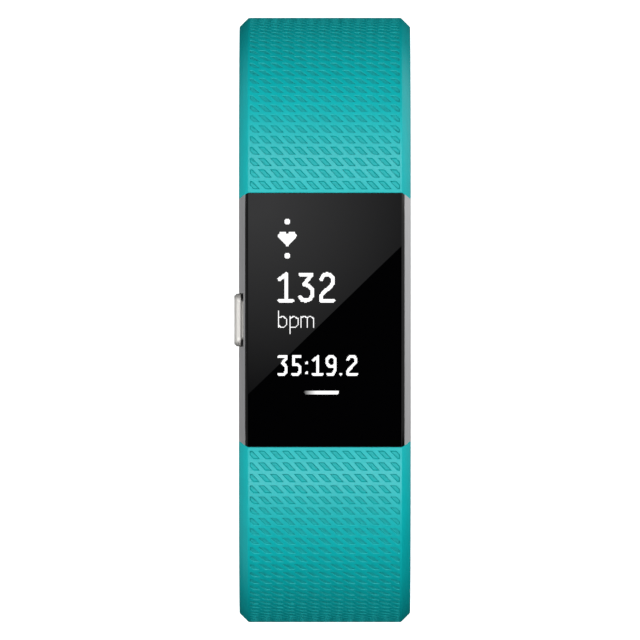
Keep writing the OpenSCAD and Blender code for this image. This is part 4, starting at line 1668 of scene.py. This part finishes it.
@dataclass
class LitDisplay:
    """What the display shows: a pulse with its heart, a time and a moving bar. Sizes in mm."""

    wardrobe: Wardrobe
    pixel: float = 0.18
    fine: float = 1.6
    crown_r: float = LoopSizes.crown_r
    lift: float = 0.02
    heart_w: float = 2.3
    heart_seat: Point2 = (-4.7, 10.16)
    heart_middle: Point2 = (7.8, 6.5)
    dot_w: float = 4.1
    dot_levels: Point2 = (12.3, 8.03)
    sweep_l: float = 23.4
    sweep_w: float = 2.5
    sweep_seat: Point2 = (-2.66, -9.3)
    sweep_lift: float = 0.004

    def raster(self, strokes: Iterable[Stroke], width: float, origin: Point2) -> list[Point2]:
        """Lights the pixels that strokes pass over.

        Args:
            strokes: Lines in pixels.
            width: The lines' width in pixels.
            origin: Where the lines' origin lies, in mm.

        Returns:
            Centres of the lit pixels.
        """
        lit: set[tuple[int, int]] = set()
        for stroke in strokes:
            for a, b in zip(stroke, stroke[1:]):
                start, run = Vector(a), Vector(b) - Vector(a)
                reach = width / 2 + 1
                low = [math.floor((min(a[k], b[k]) - reach) * self.fine) for k in (0, 1)]
                high = [math.ceil((max(a[k], b[k]) + reach) * self.fine) for k in (0, 1)]
                for col in range(low[0], high[0]):
                    for row in range(low[1], high[1]):
                        here = Vector((col + 0.5, row + 0.5)) / self.fine
                        share = min(max((here - start).dot(run) / max(run.length_squared, 1e-9), 0.0), 1.0)
                        if (here - start - run * share).length < width / 2:
                            lit.add((col, row))
        size = self.pixel / self.fine
        return [(origin[0] + (c + 0.5) * size, origin[1] + (r + 0.5) * size) for c, r in sorted(lit)]

    def tree(self, material: bpy.types.Material) -> bpy.types.NodeTree:
        """The tree that sets a square on each lit pixel of the crowned window.

        Args:
            material: The pixels' finish.

        Returns:
            The tree.
        """
        made = GeometryTree(
            "lit_pixels",
            {
                "Pixel": ("NodeSocketFloat", 0.2 * MM),
                "Crown Radius": ("NodeSocketFloat", 0.19),
                "Level": ("NodeSocketFloat", 0.05),
            },
        )
        side = made.input("Pixel")
        grid = {"Size X": side, "Size Y": side, "Vertices X": 2, "Vertices Y": 2}
        tile = made.node("GeometryNodeMeshGrid", None, grid)
        spots = {"Points": made.input("Geometry"), "Instance": tile.outputs[0]}
        laid = made.node("GeometryNodeInstanceOnPoints", None, spots)
        flat = made.node("GeometryNodeRealizeInstances", None, {0: laid.outputs[0]}).outputs[0]
        sealed = made.node("GeometryNodeMergeByDistance", None, {"Geometry": flat, "Distance": 0.002 * MM})
        x, y, _ = made.parts(made.node("GeometryNodeInputPosition").outputs[0])
        r = made.number("Crown Radius")
        height = (r * r - y * y) ** 0.5 - r + made.number("Level")
        seats = {"Geometry": sealed.outputs[0], "Position": made.vector(x, y, height)}
        moved = made.node("GeometryNodeSetPosition", None, seats)
        return made.end(moved.outputs[0], material)

    def piece(self, name: str, look: Look, points: Sequence[Point2], level: float) -> Piece:
        """Makes one lit piece.

        Args:
            name: Its name.
            look: Its finish.
            points: Its pixels' centres, in mm.
            level: Height of the window's middle, in metres.

        Returns:
            The piece.
        """
        mesh = bmesh.new()
        for x, y in points:
            mesh.verts.new((x * MM, y * MM, 0))
        made = Workshop.keep(mesh, name)
        tree = self.tree(self.wardrobe.get(look))
        values = {
            "Pixel": self.pixel / self.fine * MM,
            "Crown Radius": self.crown_r * MM,
            "Level": level + self.lift * MM,
        }
        Workshop.grow(made, tree, values)
        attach(made, "band")
        LOG.info("%s: %d pixels", name, len(points))
        return made

    def text(self, line: Caption) -> list[Point2]:
        """Lights a line of glyphs.

        Args:
            line: The glyphs and where they lie.

        Returns:
            Centres of the lit pixels.
        """
        points: list[Point2] = []
        for letter, place in zip(line.words, line.places):
            start = (line.origin[0] + place * self.pixel, line.origin[1])
            points += self.raster(line.glyphs[letter], line.width, start)
        return points

    def build(self, level: float) -> list[Piece]:
        """Makes all lit pieces.

        Args:
            level: Height of the window's middle, in metres.

        Returns:
            The pieces.
        """
        x, y = self.heart_seat
        corner = (x - self.heart_middle[0] * self.pixel, y - self.heart_middle[1] * self.pixel)
        heart = self.raster(HEART, self.heart_w, corner)
        for dot_y in self.dot_levels:
            heart += self.raster([[(0.0, 0.0), (0.01, 0.0)]], self.dot_w, (x, dot_y))
        pieces = [self.piece("lit_heart", Look.PIXELS, heart, level)]
        pieces += [self.piece(line.name, Look.PIXELS, self.text(line), level) for line in CAPTIONS]
        bar = self.raster([[(1.5, 1.5), (self.sweep_l, 1.5)]], self.sweep_w, self.sweep_seat)
        steps = sorted({(round(x, 4), round(y, 4)) for x, y in bar})
        pieces.append(self.piece("lit_sweep", Look.SWEEP, steps, level + self.sweep_lift * MM))
        return pieces


@dataclass(frozen=True)
class Softbox:
    """A soft lamp over the band, places in metres."""

    name: str
    seat: Colour
    aim: Colour
    size: Point2
    radiance: float

    def place(self) -> None:
        """Adds the lamp."""
        lamp = bpy.data.lights.new(self.name, "AREA")
        lamp.shape = "RECTANGLE"
        lamp.size, lamp.size_y = self.size
        lamp.energy = self.radiance * math.pi * self.size[0] * self.size[1]
        made = bpy.data.objects.new(self.name, lamp)
        seat, aim = Vector(self.seat), Vector(self.aim)
        face = (aim - seat).to_track_quat("-Z", "Y").to_matrix().to_4x4()
        made.matrix_world = Matrix.Translation(seat) @ face
        made.visible_camera = False
        bpy.context.scene.collection.objects.link(made)


@dataclass
class Studio:
    """Floor, surroundings, lamps and camera. A rise or fall is a start and a run of a direction's part."""

    top: float
    low: float
    floor_size: float = 6.0
    floor_glow: float = 0.75
    dome: float = 1.19
    dome_rise: Point2 = (0.47, 0.3)
    zenith_rise: Point2 = (0.972, 0.01)
    ring_rise: Point2 = (-0.8, 0.3)
    ring_fall: Point2 = (0.2, 0.3)
    side_rise: Point2 = (0.45, 0.25)
    right_rise: Point2 = (-0.1, 0.2)
    key_rise: Point2 = (-0.32, 0.62)
    left_horizon: float = 0.23
    right_key: float = 0.9
    distance: float = 10 / 3
    view_w: float = 0.08
    sensor: float = 36.0
    shift_x: float = -0.00061
    edge_turn: float = 11.0
    far_corner: Point2 = (0.0094, 0.0156)
    fall_off: float = 39.0
    crown_r: float = LoopSizes.crown_r * MM
    card_h: float = 0.5
    card_w: float = 0.5

    def floor(self) -> None:
        """A pale floor under the band."""
        mesh = bmesh.new()
        half = self.floor_size / 2
        corners = [(-half, -half), (half, -half), (half, half), (-half, half)]
        mesh.faces.new([mesh.verts.new((x, y, self.low)) for x, y in corners])
        made = Workshop.keep(mesh, "studio_floor")
        material, tree = fresh_material("studio_floor")
        shader = tree.node(
            "ShaderNodeBsdfPrincipled",
            None,
            {
                "Base Color": (0.9, 0.9, 0.9, 1.0),
                "Roughness": 0.9,
                "Specular IOR Level": 0.1,
                "Emission Color": (1.0, 1.0, 1.0, 1.0),
                "Emission Strength": self.floor_glow,
            },
        )
        tree.surface(shader)
        made.data.materials.append(material)
        made.visible_diffuse = False
        made.visible_glossy = False
        made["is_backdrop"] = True

    def world(self) -> None:
        """Even, pale surroundings that are darker straight above."""
        world = bpy.data.worlds.new("studio")
        bpy.context.scene.world = world
        world.use_nodes = True
        world.node_tree.nodes.clear()
        tree = Tree(world.node_tree)
        way = tree.node("ShaderNodeTexCoord").outputs["Generated"]
        split = tree.node("ShaderNodeSeparateXYZ", None, {0: way})
        x, y, z = (tree.value(socket) for socket in split.outputs)
        sky = z.ramp(*self.dome_rise) * (1 - z.ramp(*self.zenith_rise)) * self.dome
        aside = ((x * x) ** 0.5).ramp(*self.side_rise)
        ring = z.ramp(*self.ring_rise) * (1 - z.ramp(*self.ring_fall)) * aside
        right = x.ramp(*self.right_rise)
        side = (1 - right) * self.left_horizon + right * y.ramp(*self.key_rise) * self.right_key
        level = sky + ring * side
        back = tree.node("ShaderNodeBackground", None, {"Color": (1.0, 1.0, 1.0, 1.0), "Strength": level})
        tree.node("ShaderNodeOutputWorld", None, {"Surface": back.outputs[0]})

    def overhead_card(self) -> None:
        """The overhead softbox whose slanted edge crosses the window."""
        mesh = bmesh.new()
        half = self.card_w
        corners = [(-2 * half, -half), (0.0, -half), (0.0, half), (-2 * half, half)]
        turn = Matrix.Rotation(math.radians(-self.edge_turn), 4, "Z")
        seat = Vector((0.0001, 0, self.top + self.card_h))
        mesh.faces.new([mesh.verts.new(seat + turn @ Vector((x, y, 0))) for x, y in reversed(corners)])
        made = Workshop.keep(mesh, "overhead_softbox")
        material, tree = fresh_material("overhead_softbox")
        spot = tree.node("ShaderNodeTexCoord").outputs["Object"]
        x, y, _ = (tree.value(s) for s in tree.node("ShaderNodeSeparateXYZ", None, {0: spot}).outputs)
        aside = x / (1 + self.card_h / self.distance) + self.far_corner[0]
        along = y / (1 + self.card_h * 2 / self.crown_r + self.card_h / self.distance) - self.far_corner[1]
        away = (aside * aside + along * along) ** 0.5
        share = (1 - away * self.fall_off).clamped() + 0.1
        glow = tree.blend(share, (0.0, 0.0, 0.0), (0.97, 0.97, 0.99))
        lamp = tree.node("ShaderNodeEmission", None, {"Color": glow, "Strength": 1.0})
        tree.node("ShaderNodeOutputMaterial", None, {"Surface": lamp.outputs[0]})
        made.data.materials.append(material)
        made.visible_camera = False
        made.visible_shadow = False
        made.visible_diffuse = False
        made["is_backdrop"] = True

    def lamps(self) -> None:
        """The lamps round the band."""
        z = self.top
        for lamp in (
            Softbox("top_strip", (0.0, 0.5, z + 0.9), (0, 0, z), (0.9, 0.25), 3.4),
            Softbox("low_strip", (0.0, -0.5, z + 0.9), (0, 0, z), (0.9, 0.25), 3.0),
        ):
            lamp.place()

    def camera(self) -> None:
        """The camera, straight above the window."""
        data = bpy.data.cameras.new("camera")
        data.sensor_width = self.sensor
        data.lens = self.sensor * self.distance / self.view_w
        data.clip_start, data.clip_end = 0.05, 20.0
        made = bpy.data.objects.new("camera", data)
        made.location = (self.shift_x, 0.0, self.top + self.distance)
        bpy.context.scene.collection.objects.link(made)
        bpy.context.scene.camera = made

    def build(self) -> None:
        """Sets everything up."""
        bpy.context.scene.view_settings.view_transform = "Standard"
        self.floor()
        self.world()
        self.overhead_card()
        self.lamps()
        self.camera()


def main() -> None:
    """Builds the looks in order."""
    logging.basicConfig(level=logging.INFO, format="%(message)s")
    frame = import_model()
    cad_box = [list(corner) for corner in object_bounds()]
    wardrobe = Wardrobe()
    wardrobe.dress_frame(frame["nodes"])
    Straps(wardrobe).build()
    for piece in ROUNDED:
        piece.build(wardrobe, frame["nodes"][piece.node])
    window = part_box("display_window")
    LitDisplay(wardrobe).build(window[1][2])
    Studio(window[1][2], cad_box[0][2] - FLOOR_GAP).build()


if __name__ == "__main__":
    main()
